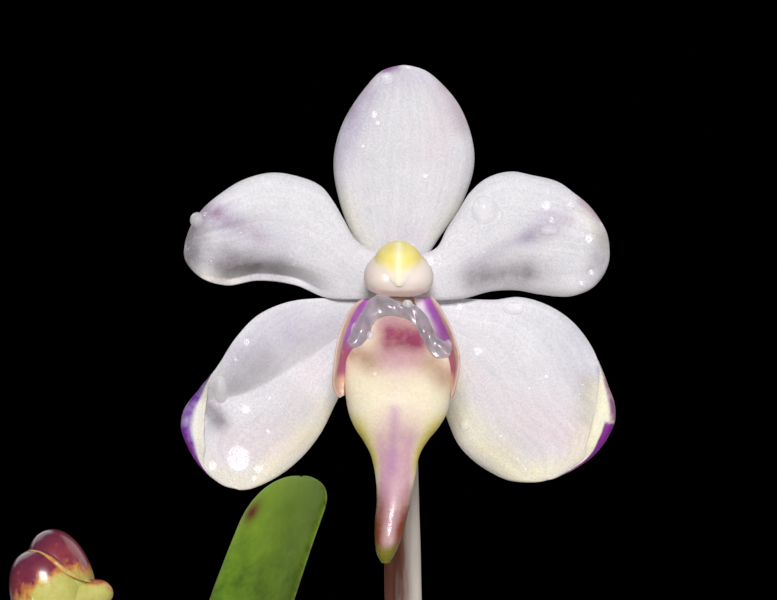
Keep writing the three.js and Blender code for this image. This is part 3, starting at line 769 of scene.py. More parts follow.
def left_sepal_slope(u, v):
    """A steep side and a gentle one that meet at a crease, whose line falls by the square of the share.
    The inner margin curls back, and a stretch of the outer one turns over by half a turn."""
    crease = 0.2 - 4.6 * np.maximum(u - 0.22, 0) ** 2
    steep = 0.2 + 0.42 * step_between(u, 0.12, 0.55)
    steep = steep * (0.4 + 0.6 * step_between(v, crease - 0.8, crease - 0.1))
    above = steep * (1 - step_between(v, crease - 0.09, crease + 0.07)) * (1 - step_between(u, 0.57, 0.7))
    below = -0.2 * between(v, crease - 0.02, crease + 0.08, crease + 0.3, crease + 0.8)
    rolled = (1 - step_between(into_roll(u, v, *LEFT_ROLL), 0.5, 1)) * (v < 0)
    return (above + below) * (1 - rolled) + curled_back(v, 0.7) * (v > 0) + np.pi * rolled


def right_sepal_slope(u, v):
    """A shallow valley with margins that curl back, and a stretch of the outer margin that turns over
    by half a turn."""
    rolled = (1 - step_between(into_roll(u, v, *RIGHT_ROLL), 0.5, 1)) * (v > 0)
    valley = -0.18 * (1 - step_between(v, -0.6, 0.1)) + 0.25 * between(v, 0.1, 0.6, 0.7, 0.8)
    back = curled_back(v, 0.75) * ((v < 0) + (v > 0) * (1 - step_between(u, 0.5, 0.6)))
    return valley * (1 - rolled) + back - np.pi * rolled


def petal_depth(lift, start):
    """A petal's depth by the share of its length: it leans forward, and its tip turns back a little."""
    return lambda u: PETAL_LAYER - 0.8 * u**2 + lift * step_between(u, start, 1)


# Each has its margins from base to tip, its slope, and its depth along its length.
DORSAL = (
    [(-0.6, 0.6), (-1.7, 2.6), (-3.2, 4.37), (-4.55, 7.5), (-4.98, 10.6), (-4.34, 13.2), (-3.56, 14.6),
     (-2.7, 15.75), (-1.42, 17.04), (0.36, 17.5)],
    [(0.6, 0.6), (1.6, 2.6), (2.7, 4.37), (4.7, 7.36), (5.62, 10.6), (5.12, 13.2), (4.27, 14.9),
     (3.27, 16.04), (2.0, 17.04), (0.36, 17.5)],
)
PETAL_LEFT = (
    [(-0.9, 3.2), (-3.27, 4.43), (-4.27, 6.07), (-5.0, 7.36), (-5.83, 8.42), (-7.83, 9.28), (-9.2, 9.49),
     (-11.7, 8.93), (-13.5, 7.78), (-14.5, 6.93), (-15.4, 5.79), (-16.1, 3.95)],
    [(-0.9, 0.2), (-3.3, 0.05), (-5.5, 0.17), (-7.83, 1.1), (-10.7, 1.45), (-13.1, 1.1), (-14.8, 1.66),
     (-15.5, 2.23), (-16.0, 2.95), (-16.1, 3.95)],
)
PETAL_RIGHT = (
    [(0.9, 3.2), (2.81, 3.94), (3.56, 5.35), (4.39, 6.67), (5.3, 8.09), (6.22, 8.93), (8.46, 9.58),
     (9.7, 9.33), (12.0, 8.67), (13.0, 7.92), (13.9, 7.17), (14.7, 6.18), (15.27, 5.18), (15.56, 4.0)],
    [(0.9, 0.2), (2.6, 0.0), (4.72, 0.12), (6.88, 0.66), (8.87, 0.73), (10.5, 0.45), (13.0, 0.36),
     (14.2, 0.86), (15.0, 1.7), (15.44, 2.69), (15.56, 4.0)],
)
SEPAL_LEFT = (
    [(-1.6, 0.0), (-5.65, 0.15), (-8.54, -0.2), (-10.6, -1.15), (-12.2, -2.84), (-13.5, -4.84),
     (-14.9, -6.72), (-16.07, -8.42), (-16.2, -9.22), (-15.7, -10.9), (-14.6, -12.7), (-13.9, -13.4),
     (-13.1, -13.9), (-12.1, -14.15)],
    [(-1.0, -2.2), (-3.2, -4.6), (-4.86, -7.83), (-5.95, -10.0), (-7.37, -11.8), (-9.14, -13.2),
     (-10.1, -13.7), (-11.1, -14.05), (-12.1, -14.15)],
)
SEPAL_RIGHT = (
    [(1.2, -2.2), (2.7, -5.2), (3.56, -8.94), (4.56, -11.1), (5.72, -12.25), (6.88, -13.0), (8.04, -13.5),
     (9.53, -13.6), (11.0, -13.42)],
    [(1.6, 0.0), (4.72, 0.07), (7.22, 0.0), (8.87, 0.2), (10.9, -0.3), (12.9, -1.55), (14.2, -3.12),
     (15.5, -6.44), (15.95, -7.94), (15.93, -8.94), (15.35, -10.26), (14.5, -11.43), (13.5, -12.25),
     (12.2, -13.0), (11.0, -13.42)],
)
TEPALS = {
    "dorsal_sepal": (DORSAL, dorsal_slope, lambda u: SEPAL_LAYER + 0.5 * u - 1.4 * u**2),
    "petal_left": (PETAL_LEFT, left_petal_slope, petal_depth(1.4, 0.78)),
    "petal_right": (PETAL_RIGHT, right_petal_slope, petal_depth(1.0, 0.8)),
    "lateral_sepal_left": (SEPAL_LEFT, left_sepal_slope, lambda u: SEPAL_LAYER - 0.6 * u),
    "lateral_sepal_right": (SEPAL_RIGHT, right_sepal_slope, lambda u: SEPAL_LAYER - 0.6 * u),
}
# The washes of colour on each tepal's front. Each soft patch has its strength, the x and z of the start
# and the end of its line, and its size. The first row lies everywhere.
EVERYWHERE = {"cream": 0.1, "rosy": 0, "lilac": 0.1, "painted_shade": 0, "plum": 0, "violet": 0, "magenta": 0}
PATCHES = {
    "dorsal_sepal": {
        "lilac": [(0.4, -4.6, 11, -2.8, 15, 1.2), (0.2, -1, 16.5, 1.5, 16.8, 1.2)],
        "plum": [(0.3, 3.2, 15.9, 4.7, 13.2, 0.9), (0.2, -3.6, 14.2, -2.4, 16, 0.8),
                 (0.12, -0.6, 2.6, 0.4, 4.5, 1.4)],
        "rosy": [(0.3, 3.6, 14.6, 2.6, 11.5, 1.4)],
        "cream": [(0.4, -4.4, 7.5, -2.6, 4, 0.9), (0.35, 4.6, 7.4, 3.0, 4.8, 0.8)],
        "magenta": [(0.7, -1.1, 17.2, -0.3, 17.4, 0.35)],
    },
    "petal_left": {
        "plum": [(0.5, -14.4, 6.7, -13.6, 6.4, 0.6), (0.22, -13.2, 6.2, -10.3, 4.7, 0.7)],
        "lilac": [(0.35, -14.6, 6.6, -13.0, 6.0, 1.0), (0.2, -12.5, 5.5, -9, 4.2, 1.2)],
        "painted_shade": [(0.6, -12.8, 2.5, -9.0, 2.4, 1.1), (0.3, -12.8, 3.7, -10.6, 3.3, 0.9),
                 (0.75, -15.3, 5.4, -15.9, 3.0, 1.0), (0.25, -14.5, 3.6, -13.5, 3.2, 1.0)],
        "cream": [(0.35, -14.5, 1.8, -11.8, 1.35, 0.5)],
    },
    "petal_right": {
        "plum": [(0.5, 13.6, 7.2, 14.8, 6.2, 0.5), (0.2, 9.9, 4.9, 12.5, 5.9, 0.5)],
        "lilac": [(0.3, 9.7, 4.9, 11.2, 6.2, 0.9), (0.2, 9.7, 4.8, 5.4, 2.8, 0.5)],
        "painted_shade": [(0.65, 9.4, 1.9, 5.4, 1.7, 1.0), (0.45, 15.1, 4.5, 14.6, 2.0, 0.9)],
        "cream": [(0.3, 13.7, 6.6, 15.2, 4.2, 0.6)],
    },
    "lateral_sepal_left": {
        "lilac": [(0.25, -8.5, -1.6, -12.0, -4.2, 1.4), (0.2, -5.0, -1.8, -8.0, -3.0, 1.2)],
        "painted_shade": [(0.35, -10.2, -4.4, -12.2, -5.8, 1.1), (0.9, -14.3, -8.2, -13.6, -9.0, 0.8)],
        "rosy": [(0.45, -9.5, -10.5, -12.3, -10.8, 1.8), (0.3, -6.5, -5.0, -7.5, -7.5, 1.4)],
        "cream": [(0.75, -5.4, -8.6, -10.6, -13.6, 1.3), (0.5, -14.3, -12.6, -12.4, -13.8, 0.9)],
    },
    "lateral_sepal_right": {
        "lilac": [(0.15, 12.8, -3.0, 14.0, -5.5, 1.4)],
        "painted_shade": [(0.3, 13.9, -6.2, 14.0, -8.6, 0.9)],
        "rosy": [(0.5, 9.5, -9.0, 12.5, -10.0, 2.2), (0.25, 5.0, -4.8, 6.5, -7.0, 1.2)],
        "cream": [(0.8, 4.8, -9.5, 9.0, -13.2, 1.5), (0.5, 4.2, -5.5, 4.4, -8.5, 0.8),
                  (0.7, 10.5, -13.0, 13.2, -11.8, 0.9), (0.75, 14.5, -6.6, 13.6, -10.8, 0.9)],
        "plum": [(0.6, 14.9, -5.2, 15.6, -7.6, 0.22)],
    },
}

# Crystalline tepal: cells full of water and air scatter the light, so the white is soft, and their
# domed tops glitter. Washes of lilac, cream and rose lie over it, violet on the tips' backs, and grey
# painted shade.
tepal_skin, t, shader, place = new_material("crystalline tepal", IOR=1.38, Subsurface_Weight=0.15,
                                            Subsurface_Scale=0.5 * MM, Subsurface_Radius=(1.0, 0.9, 0.95))
across = node(t, "Attribute", attribute_name="across").outputs["Fac"]
along = node(t, "Attribute", attribute_name="along").outputs["Fac"]
cells = node(t, "TexNoise", Vector=place, Scale=per_mm(0.16), Detail=2.0, Roughness=0.7)
cloud = node(t, "TexNoise", Vector=place, Scale=per_mm(1.6), Detail=6.0, Roughness=0.62)
# Veins are 0.4 mm apart in the middle of a tepal and run its whole length.
vein_place = node(t, "CombineXYZ", X=node(t, "Math", across, 14.0, operation="MULTIPLY"),
                  Y=node(t, "Math", along, 2.0, operation="MULTIPLY"))
veins = node(t, "TexNoise", Vector=vein_place, Scale=1.0, Detail=3.0)
white = node(t, "MixRGB", cloud, "#cccbd3", "#edecf1")
ragged = node(t, "MapRange", cloud, 0.3, 0.7, 0.6, 1.4)
# The grey wash is painted shade in grooves, on slopes that fall away and at the petal tips, and painted
# shadow under the left sepal's rolled margin and its drop.
WASHES = {"cream": "#ece5c9", "rosy": "#e6d0d3", "lilac": "#a698ba", "painted_shade": "#857c84", "plum": "#86567c",
          "violet": "#6c2a96", "magenta": "#7c1c86"}
tint = washed(t, white, WASHES, ragged)
vein_tone = node(t, "MapRange", veins, 0.3, 0.7, 0.94, 1.04)
veined = node(t, "MixRGB", 1.0, tint, vein_tone, blend_type="MULTIPLY")
# The colour grain is partly painted glitter: lighter and darker specks at the size of the cells.
grain_and_painted_glitter = node(t, "MapRange", cells, 0.28, 0.75, 0.89, 1.11)
grained = node(t, "MixRGB", 1.0, veined, grain_and_painted_glitter, blend_type="MULTIPLY")
sparkle = node(t, "MapRange", cells, 0.35, 0.7, 0.6, 0.36)
relief = node(t, "Bump", Strength=0.5, Distance=0.07 * MM, Height=cells)
connect(t, shader, Base_Color=grained, Roughness=sparkle, Normal=relief)

seats = {}
for name, ((one, other), slope, depth) in TEPALS.items():
    middle, thickness, u, v = tepal(one, other, slope, depth)
    seats[name] = middle + face_normal(middle) * thickness[..., None] / 2
    x, z = middle[..., 0], middle[..., 2]
    front = {mask: share + 0 * x for mask, share in EVERYWHERE.items()}
    for mask, patches in PATCHES[name].items():
        for strength, *line, size in patches:
            front[mask] = front[mask] + strength * near(x, z, line[:2], line[2:], size)
    back = {mask: share + 0 * x for mask, share in EVERYWHERE.items()}
    back["lilac"] = 0.2 + 0.5 * step_between(u, 0.6, 1)
    if name == "lateral_sepal_left":
        into = np.where(v < 0, into_roll(u, v, *LEFT_ROLL), 9)
        strip = 1 - step_between(into, 1.0, 1.4)
        back["violet"] = 0.95 * strip * step_between(into, 0.3, 0.5)
        back["magenta"] = 0.8 * strip * step_between(into, 0.42, 0.6) * step_between(-z, 9.6, 10.8)
        back["cream"] = 0.1 + 0.5 * (1 - step_between(into, 0.2, 0.45))
        back["lilac"] = back["lilac"] * (1 - strip)
    elif name == "lateral_sepal_right":
        into = np.where(v > 0, into_roll(u, v, *RIGHT_ROLL), 9)
        strip = 1 - step_between(into, 1.0, 1.4)
        back["magenta"] = strip * step_between(into, 0.36, 0.46) * step_between(-z, 9.0, 9.3)
        back["plum"] = 0.9 * strip * step_between(into, 0.5, 0.62) * (1 - step_between(-z, 8.9, 9.2))
        back["cream"] = 0.1 + 0.8 * strip
        back["lilac"] = back["lilac"] * (1 - strip)
    masks = {key: both_faces(front[key], back[key]) for key in front}
    masks |= {"across": both_faces(v), "along": both_faces(u)}
    put_on(skin("crystalline_" + name, FLOWER + shell(middle, thickness), masks), tepal_skin, "tepal", name)


# Column: the stubby, fleshy body where stamen and style are grown together, blush white and moist.
# Its tip holds the anther cap, a loose yellow lid with a ridge down its middle, and pollen dusts both.
# Each row is height, left, right, and the depth of the sides, the front and the back.
COLUMN = [(0.25, -1.0, 0.9, -2.9, -3.8, -1.4), (0.45, -1.75, 1.6, -3.0, -4.7, -0.4),
          (0.8, -2.35, 2.15, -3.1, -5.2, 0.1), (1.4, -2.65, 2.42, -3.1, -5.5, 0.4),
          (2.1, -2.62, 2.38, -3.0, -5.5, 0.5), (2.8, -2.25, 2.0, -2.7, -5.1, 0.5),
          (3.4, -1.6, 1.4, -2.3, -4.2, 0.4), (3.8, -0.7, 0.6, -2.0, -3.0, -0.6)]
ANTHER_CAP = [(0.98, -0.35, 0.2, -5.0, -5.3, -4.3), (1.3, -0.75, 0.55, -5.0, -5.52, -3.6),
              (1.8, -1.25, 0.98, -4.8, -5.68, -3.0), (2.4, -1.76, 1.48, -4.1, -5.72, -2.7),
              (2.95, -1.9, 1.6, -3.5, -5.55, -2.5), (3.5, -1.68, 1.38, -3.2, -5.1, -2.4),
              (3.98, -1.16, 0.88, -3.1, -4.4, -2.5), (4.32, -0.45, 0.2, -3.1, -3.7, -2.8)]
COLUMN_MIDDLE = -0.14


def level_rings(rows, rows_out=90, around=72, fullness=1.0):
    """Rings of a body from level rows, each height, left, right, and depth of its sides, front and back.
    Round the ring x is a cosine between left and right, and the depth goes from the sides' to the
    front's or the back's with the sine to the power fullness."""
    row = curve_through(rows, eased(rows_out))
    z, left, right, sides, front, back = (row[:, k : k + 1] for k in range(6))
    turn = circle(around)[None, :]
    x = (left + right) / 2 + (right - left) / 2 * np.cos(turn)
    swell = np.abs(np.sin(turn)) ** fullness
    y = sides + np.where(np.sin(turn) > 0, back - sides, front - sides) * swell
    return np.stack([x, y, z + 0 * turn], axis=-1)


def column_front(x, z):
    """The depth of the column's front at x and z: its level sections are ellipses to the power 0.8."""
    row = curve_through(COLUMN, eased(90))
    left, right, sides, front = (np.interp(z, row[:, 0], row[:, k]) for k in (1, 2, 3, 4))
    across = (2 * x - left - right) / (right - left)
    return sides + (front - sides) * np.clip(1 - across**2, 0, 1) ** 0.4


column_rings = level_rings(COLUMN, fullness=0.8)
cap_rings = level_rings(ANTHER_CAP, around=96)
# Low down the cap lies flush on the column, a little proud in the middle and just sunk at its edges.
x, y, z = (cap_rings[..., k] for k in range(3))
centre, half = (x.max(axis=1) + x.min(axis=1))[:, None] / 2, np.ptp(x, axis=1)[:, None] / 2
flush = column_front(x, z) + 0.03 - 0.08 * (1 - ((x - centre) / half) ** 2)
in_front = np.arange(96)[None, :] > 48
cap_rings[..., 1] = np.where(in_front, flush + (y - flush) * step_between(z, 2.3, 3.4), y)
for rings, name in ((column_rings, "column"), (cap_rings, "anther_cap")):
    seats[name] = rings[:, rings.shape[1] // 2 + 1 :]
ridge_and_painted_highlight = np.exp(-(((cap_rings[..., 0] - COLUMN_MIDDLE) / 0.3) ** 2)) * (cap_rings[..., 1] < -4)
cap_rings[..., 1] -= 0.08 * ridge_and_painted_highlight


def dusting(rings):
    """Pollen lies on the front above a shallow V, out to the cap's width, and its edge is soft."""
    x, y, z = (rings[..., k] for k in range(3))
    off = np.abs(x - COLUMN_MIDDLE)
    return step_between(z - 1.35 - 0.5 * off, 0, 1.1) * (1 - step_between(off, 1.5, 2.15)) * (y < -2.2)


column = skin("blush_column", FLOWER + column_rings, {"pollen": dusting(column_rings)})
cap = skin("yellow_anther_cap", FLOWER + cap_rings, {"pollen": dusting(cap_rings), "ridge_and_painted_highlight": ridge_and_painted_highlight})

# Column tissue: full of water, so light goes deep into it and its shading is soft. The cap's wall is
# drier and yellow with pollen, with a pale highlight painted along its ridge.
for piece, name, slot, wet in ((column, "column", "column", 0.34), (cap, "anther_cap", "anther", 0.42)):
    surface, t, shader, place = new_material("moist " + name.replace("_", " ") + " tissue", Roughness=wet,
                                             IOR=1.4, Subsurface_Weight=0.25, Subsurface_Scale=0.8 * MM,
                                             Subsurface_Radius=(1.0, 0.85, 0.75))
    pollen = node(t, "Attribute", attribute_name="pollen").outputs["Fac"]
    # Painted highlight: the cap's ridge is painted a pale cream.
    light = node(t, "Math", node(t, "Attribute", attribute_name="ridge_and_painted_highlight").outputs["Fac"], 0.7,
                 operation="MULTIPLY")
    cloud = node(t, "TexNoise", Vector=place, Scale=per_mm(1.2), Detail=4.0)
    blush = node(t, "MixRGB", cloud, "#f3ddd2", "#fcf2ea")
    deep = node(t, "MixRGB", cloud, "#f6dd66", "#fcee9c")
    dusted = node(t, "MixRGB", pollen, blush, deep)
    tint = node(t, "MixRGB", light, dusted, "#fdf8d4")
    relief = node(t, "Bump", Strength=0.2, Distance=0.1 * MM, Height=cloud)
    connect(t, shader, Base_Color=tint, Normal=relief)
    put_on(piece, surface, slot, name)


# Lip: one fleshy petal. Its throat is a deep channel under the column, its apron swells forward, and
# it narrows into a blunt tongue that hangs in front of the ovary.
LIP = [
    (0.2, -2.2, 1.9, -2.4, -1.4, -0.4),
    (-1.4, -3.3, 2.8, -3.8, -2.4, -0.8),
    (-2.8, -3.9, 3.4, -4.1, -3.4, -1.2),
    (-4.0, -4.0, 3.65, -4.2, -4.8, -1.6),
    (-5.4, -4.0, 3.75, -4.2, -5.9, -2.0),
    (-7.0, -3.95, 3.65, -4.3, -6.6, -2.6),
    (-8.1, -3.75, 3.4, -4.5, -6.8, -3.2),
    (-9.2, -3.3, 2.75, -4.8, -6.8, -3.8),
    (-10.1, -2.7, 2.0, -5.0, -6.6, -4.2),
    (-11.0, -2.2, 1.45, -5.2, -6.5, -4.5),
    (-12.8, -1.78, 1.05, -5.5, -6.6, -4.9),
    (-14.4, -1.7, 0.72, -5.8, -6.9, -5.2),
    (-15.9, -1.83, 0.38, -6.1, -7.25, -5.4),
    (-17.2, -1.83, 0.0, -6.4, -7.5, -5.7),
    (-18.1, -1.7, -0.4, -6.5, -7.35, -5.9),
    (-18.75, -1.35, -0.8, -6.6, -6.9, -6.3),
]
lip_rings = level_rings(LIP, rows_out=180, around=112, fullness=0.85)
seats["lip"] = lip_rings[:, 57:]
x, y, z = (lip_rings[..., k] for k in range(3))
centre = (lip_rings.max(axis=1)[:, :1] + lip_rings.min(axis=1)[:, :1]) / 2
off_middle = np.abs(x - centre) / (np.ptp(x, axis=1)[:, None] / 2)
flank = 0.25 + 0.075 * (-z - 8)
masks = {
    "gold": between(-z, 7.6, 9.4, 11.6, 13.0) * step_between(off_middle, 0.45, 0.95),
    "pink": step_between(-z, 7.0, 11.0) * (1 - step_between(off_middle, flank, flank + 0.45))
            + 0.18 * near(x, z, (-0.1, -6.2), (-0.3, -8.2), 1.3),
    # The first mauve patch is painted shade in the throat under the crest; the other two are real streaks.
    "mauve_and_painted_shade": 0.5 * near(x, z, (-1.3, -1.2), (1.2, -1.2), 0.8)
             + 0.4 * near(x, z, (-0.4, -7.8), (-0.6, -12.2), 0.4)
             + 0.22 * near(x, z, (-0.8, -11.0), (-1.1, -14.2), 0.5),
    "rust": step_between(-z, 12.4, 16.2) * (0.25 + 0.75 * step_between(off_middle, 0.15, 0.8)),
    "olive": step_between(-z, 17.0, 18.0),
    "waxy": step_between(-z, 12.8, 15.6),
    "rose": 0.75 * near(x, z, (-1.1, -4.2), (0.9, -4.2), 1.0),
    "wine": 1.1 * near(x, z, (-0.7, -2.6), (1.2, -2.7), 1.15),
    # Painted shadow: brown under the crest's two legs, and a little under its arch.
    "painted_shadow": 0.85 * near(x, z, (-3.4, -3.9), (-2.2, -4.4), 0.9)
             + 0.8 * near(x, z, (2.2, -4.6), (3.1, -5.5), 0.9)
             + 0.3 * near(x, z, (-1.4, -1.2), (1.2, -1.2), 0.6),
}
lip = skin("fleshy_lip", FLOWER + lip_rings, masks)

# Lip tissue: smooth, moist and a little translucent. Cream on the apron, wine red in the throat,
# and pink down the tongue to an olive tip, with shade and shadow painted in brown and mauve under the
# crest.
lip_skin, t, shader, place = new_material("fleshy lip tissue", IOR=1.4, Subsurface_Weight=0.25,
                                          Coat_Weight=0.08, Coat_Roughness=0.25,
                                          Subsurface_Scale=1.0 * MM, Subsurface_Radius=(1.0, 0.8, 0.6))
cloud = node(t, "TexNoise", Vector=place, Scale=per_mm(1.4), Detail=5.0, Roughness=0.6)
fine = node(t, "TexNoise", Vector=place, Scale=per_mm(0.2), Detail=2.0)
ragged = node(t, "MapRange", cloud, 0.3, 0.7, 0.78, 1.22)
tint = node(t, "MixRGB", cloud, "#ebdfbc", "#f4e9d4")
STAINS_AND_PAINTED_SHADOW = {"gold": "#d6c661", "pink": "#cda4ae", "mauve_and_painted_shade": "#b07aac", "rose": "#cf97ab", "painted_shadow": "#ae8a70",
          "wine": "#94405e", "rust": "#87492f", "olive": "#7c7414"}
tint = washed(t, tint, STAINS_AND_PAINTED_SHADOW, ragged)
# A fine grain of lighter and darker specks, partly painted glitter.
grain_and_painted_glitter = node(t, "MapRange", fine, 0.28, 0.75, 0.94, 1.06)
grained = node(t, "MixRGB", 1.0, tint, grain_and_painted_glitter, blend_type="MULTIPLY")
waxy = node(t, "Attribute", attribute_name="waxy").outputs["Fac"]
gloss = node(t, "MapRange", waxy, 0, 1, 0.62, 0.16)
relief = node(t, "Bump", Strength=0.3, Distance=0.08 * MM, Height=fine)
connect(t, shader, Base_Color=grained, Roughness=gloss, Normal=relief)
put_on(lip, lip_skin, "lip", "lip")


# Side lobes: two thin ears that stand up from the lip's sides and wall its mouth. They are violet
# within, and the rim is thin enough for light to turn it pink and tan.
LOBE_LEFT = (
    [(-2.73, -3.6, 0.07), (-3.38, -4.6, -0.43), (-4.0, -5.5, -1.44), (-4.43, -6.0, -2.66),
     (-4.67, -6.1, -3.95), (-4.78, -5.9, -5.18), (-4.83, -5.5, -5.97), (-4.68, -5.1, -6.6),
     (-4.3, -4.8, -7.05)],
    [(-1.7, -2.4, 0.1), (-1.9, -2.8, -0.87), (-2.3, -3.2, -2.0), (-3.0, -3.7, -3.4), (-3.7, -4.0, -4.7),
     (-4.0, -4.2, -5.9), (-4.05, -4.4, -6.9)],
)
LOBE_RIGHT = (
    [(2.32, -3.6, 0.29), (2.8, -4.6, -0.36), (3.22, -5.5, -1.15), (3.64, -6.0, -2.0), (4.0, -6.1, -3.1),
     (4.22, -6.1, -4.1), (4.16, -5.9, -5.0), (3.92, -5.4, -6.1), (3.6, -4.9, -7.05)],
    [(1.0, -2.4, 0.2), (1.2, -3.0, -0.7), (1.7, -3.3, -1.9), (2.6, -3.7, -3.2), (3.2, -4.0, -4.3),
     (3.5, -4.3, -5.8), (3.55, -4.5, -6.9)],
)


def ribbon(one, other, thickness, bulge, rows=90):
    """A sheet between two edges. Its middle surface runs straight from edge to edge, and stands off that
    towards its front by bulge times the sine of the way across."""
    u, v = eased(rows), np.linspace(0, 1, 41)
    start, end = curve_through(one, u)[:, None], curve_through(other, u)[:, None]
    flat = start * (1 - v[None, :, None]) + end * v[None, :, None]
    middle = flat + face_normal(flat) * (bulge * np.sin(np.pi * v))[None, :, None]
    closing = np.sqrt(np.clip(1 - np.abs(2 * u - 1) ** 20, 0.02, 1))[:, None]
    rim = blunt_edge(2 * v - 1, 10)[None, :]
    return middle, thickness * rim * closing, u[:, None] + 0 * v, v[None, :] + 0 * u[:, None]


lobe_skin, t, shader, place = new_material("violet lobe tissue", Roughness=0.36, IOR=1.4,
                                           Subsurface_Weight=0.3, Coat_Weight=0.2, Coat_Roughness=0.2,
                                           Subsurface_Scale=0.6 * MM, Subsurface_Radius=(1.0, 0.75, 0.8))
cloud = node(t, "TexNoise", Vector=place, Scale=per_mm(0.9), Detail=4.0)
ragged = node(t, "MapRange", cloud, 0.3, 0.7, 0.75, 1.25)
tint = node(t, "MixRGB", cloud, "#8f49b4", "#cf7ad2")
FLUSHES = {"wine": "#b35a78", "tan": "#dbbcb0", "pale": "#ebe0ec", "foot": "#d8b4a2"}
tint = washed(t, tint, FLUSHES, ragged)
connect(t, shader, Base_Color=tint)
for side, (rim_line, foot_line) in {"left": LOBE_LEFT, "right": LOBE_RIGHT}.items():
    middle, thickness, u, v = ribbon(rim_line, foot_line, thickness=0.24, bulge=-0.22)
    seats["lobe_" + side] = middle + face_normal(middle) * thickness[..., None] / 2
    rim_width = 0.06 + 0.22 * u
    masks = {
        "wine": step_between(u, 0.45, 0.62),
        "tan": 1 - step_between(v, rim_width, rim_width + 0.14),
        "pale": step_between(v, 0.45, 0.8) * (1 - step_between(u, 0.25, 0.55)),
        "foot": step_between(u, 0.74, 0.86),
    }
    piece = skin(f"violet_side_lobe_{side}", FLOWER + shell(middle, thickness),
                 {key: both_faces(values) for key, values in masks.items()})
    put_on(piece, lobe_skin, "lobe", f"lip_side_lobe_{side}")


# Crest: a wavy film of clear tissue that arches over the throat from lobe to lobe. It is wet, so it
# glints along its folds, and what lies behind shows grey through it.
CREST = (
    [(-3.8, -6.0, -3.1), (-3.5, -5.9, -2.2), (-3.1, -5.6, -1.43), (-2.65, -5.2, -0.75),
     (-2.3, -5.0, -0.14), (-1.79, -4.8, 0.25), (-1.05, -4.8, 0.3), (-0.46, -5.0, 0.05),
     (0.26, -5.0, -0.25), (1.17, -5.0, -0.5), (1.75, -5.2, -0.95), (2.1, -5.5, -1.7), (2.5, -5.8, -2.5),
     (3.1, -6.0, -2.95), (3.7, -6.1, -3.5)],
    [(-3.5, -6.2, -3.5), (-2.75, -6.1, -3.15), (-2.2, -5.9, -2.5), (-2.0, -5.7, -1.85),
     (-1.7, -5.5, -1.4), (-1.11, -5.4, -1.2), (-0.46, -5.4, -1.15), (0.52, -5.5, -1.4),
     (1.1, -5.7, -1.95), (1.55, -6.0, -2.7), (1.95, -6.3, -3.55), (2.5, -6.5, -4.1), (3.45, -6.4, -4.15)],
)
middle, thickness, u, v = ribbon(*CREST, thickness=0.18, bulge=0.28, rows=170)
folds = 0.1 * np.sin(19 * u + 4 * v) + 0.05 * np.sin(47 * u - 5 * v + 1)
middle[..., 1] += folds * np.sin(np.pi * v) ** 0.7
middle[..., 2] += 0.07 * np.sin(31 * u + 2) * (1 - 0.6 * v)
rolled_edge = 0.15 * (np.exp(-((v / 0.1) ** 2)) + 0.7 * np.exp(-(((1 - v) / 0.1) ** 2)))
thickness = thickness * (1 + rolled_edge / 0.18 * (0.7 + 0.3 * np.sin(37 * u)))
seats["crest"] = middle + face_normal(middle) * thickness[..., None] / 2
crest = skin("clear_lip_crest", FLOWER + shell(middle, thickness))
crest_skin, t, shader, place = new_material("clear wet film", IOR=1.36, Roughness=0.22,
                                            Transmission_Weight=0.55, Subsurface_Weight=0.5,
                                            Coat_Weight=0.3, Coat_Roughness=0.08,
                                            Subsurface_Scale=0.6 * MM)
cloud = node(t, "TexNoise", Vector=place, Scale=per_mm(0.7), Detail=4.0)
tint = node(t, "MixRGB", cloud, "#918b93", "#cfc8d0")
relief = node(t, "Bump", Strength=0.3, Distance=0.15 * MM, Height=cloud)
connect(t, shader, Base_Color=tint, Normal=relief)
put_on(crest, crest_skin, "crest", "lip_crest")
# The film is so clear that it casts no shadow of its own on the throat.
crest.visible_shadow = False
crest.visible_diffuse = False


# Buds: closed sepals pressed into a knob, maroon where the sun reached and yellow-green at the spur
# that will hang under the lip. The skin is taut and glossy, and one sepal's edge shows as a bright rib.
BUD = np.array([2.4, -28.0, 216.6])
SMALL_BUD = np.array([25.0, -24.4, 208.2])


def lobed(centre, radii, tilt_degrees, squareness=0.0):
    """Rings of an ellipsoid about its long axis, which leans over to the right by a tilt. Squareness
    fills out its shoulders: the radius at each height is the sine to the power 1 less squareness."""
    polar = np.linspace(0.02, np.pi - 0.02, 70)[:, None]
    turn = circle(90)[None, :]
    girth = np.sin(polar) ** (1 - squareness)
    ridge_and_painted_highlight = 1 + 0.03 * np.cos(3 * turn + 1.2) * np.sin(polar)
    x, y, z = girth * np.cos(turn) * ridge_and_painted_highlight, girth * np.sin(turn) * ridge_and_painted_highlight, -np.cos(polar) + 0 * turn
    x, y, z = x * radii[0], y * radii[1], z * radii[2]
    c, s = np.cos(np.radians(tilt_degrees)), np.sin(np.radians(tilt_degrees))
    return np.asarray(centre) + np.stack([x * c + z * s, y, z * c - x * s], axis=-1)


bud_skin, t, shader, place = new_material("taut bud skin", Roughness=0.27, IOR=1.43,
                                          Subsurface_Weight=0.1, Coat_Weight=0.3, Coat_Roughness=0.12,
                                          Subsurface_Scale=0.8 * MM)
ripe = node(t, "Attribute", attribute_name="green").outputs["Fac"]
cloud = node(t, "TexNoise", Vector=place, Scale=per_mm(1.0), Detail=6.0, Roughness=0.65)
depth = node(t, "MapRange", cloud, 0.25, 0.75)
maroon = node(t, "MixRGB", depth, "#6e2a40", "#a4444a")
shade = node(t, "Attribute", attribute_name="purple").outputs["Fac"]
maroon = node(t, "MixRGB", shade, maroon, "#4a2246")
lime = node(t, "MixRGB", cloud, "#a89f42", "#dcd884")
wander = node(t, "MapRange", cloud, 0.3, 0.7, -0.3, 0.3)
amount = node(t, "Math", ripe, wander, operation="ADD")
orange = node(t, "MapRange", amount, 0.15, 0.5)
warm = node(t, "MixRGB", orange, maroon, "#cf8a48")
border = node(t, "MapRange", amount, 0.45, 0.75)
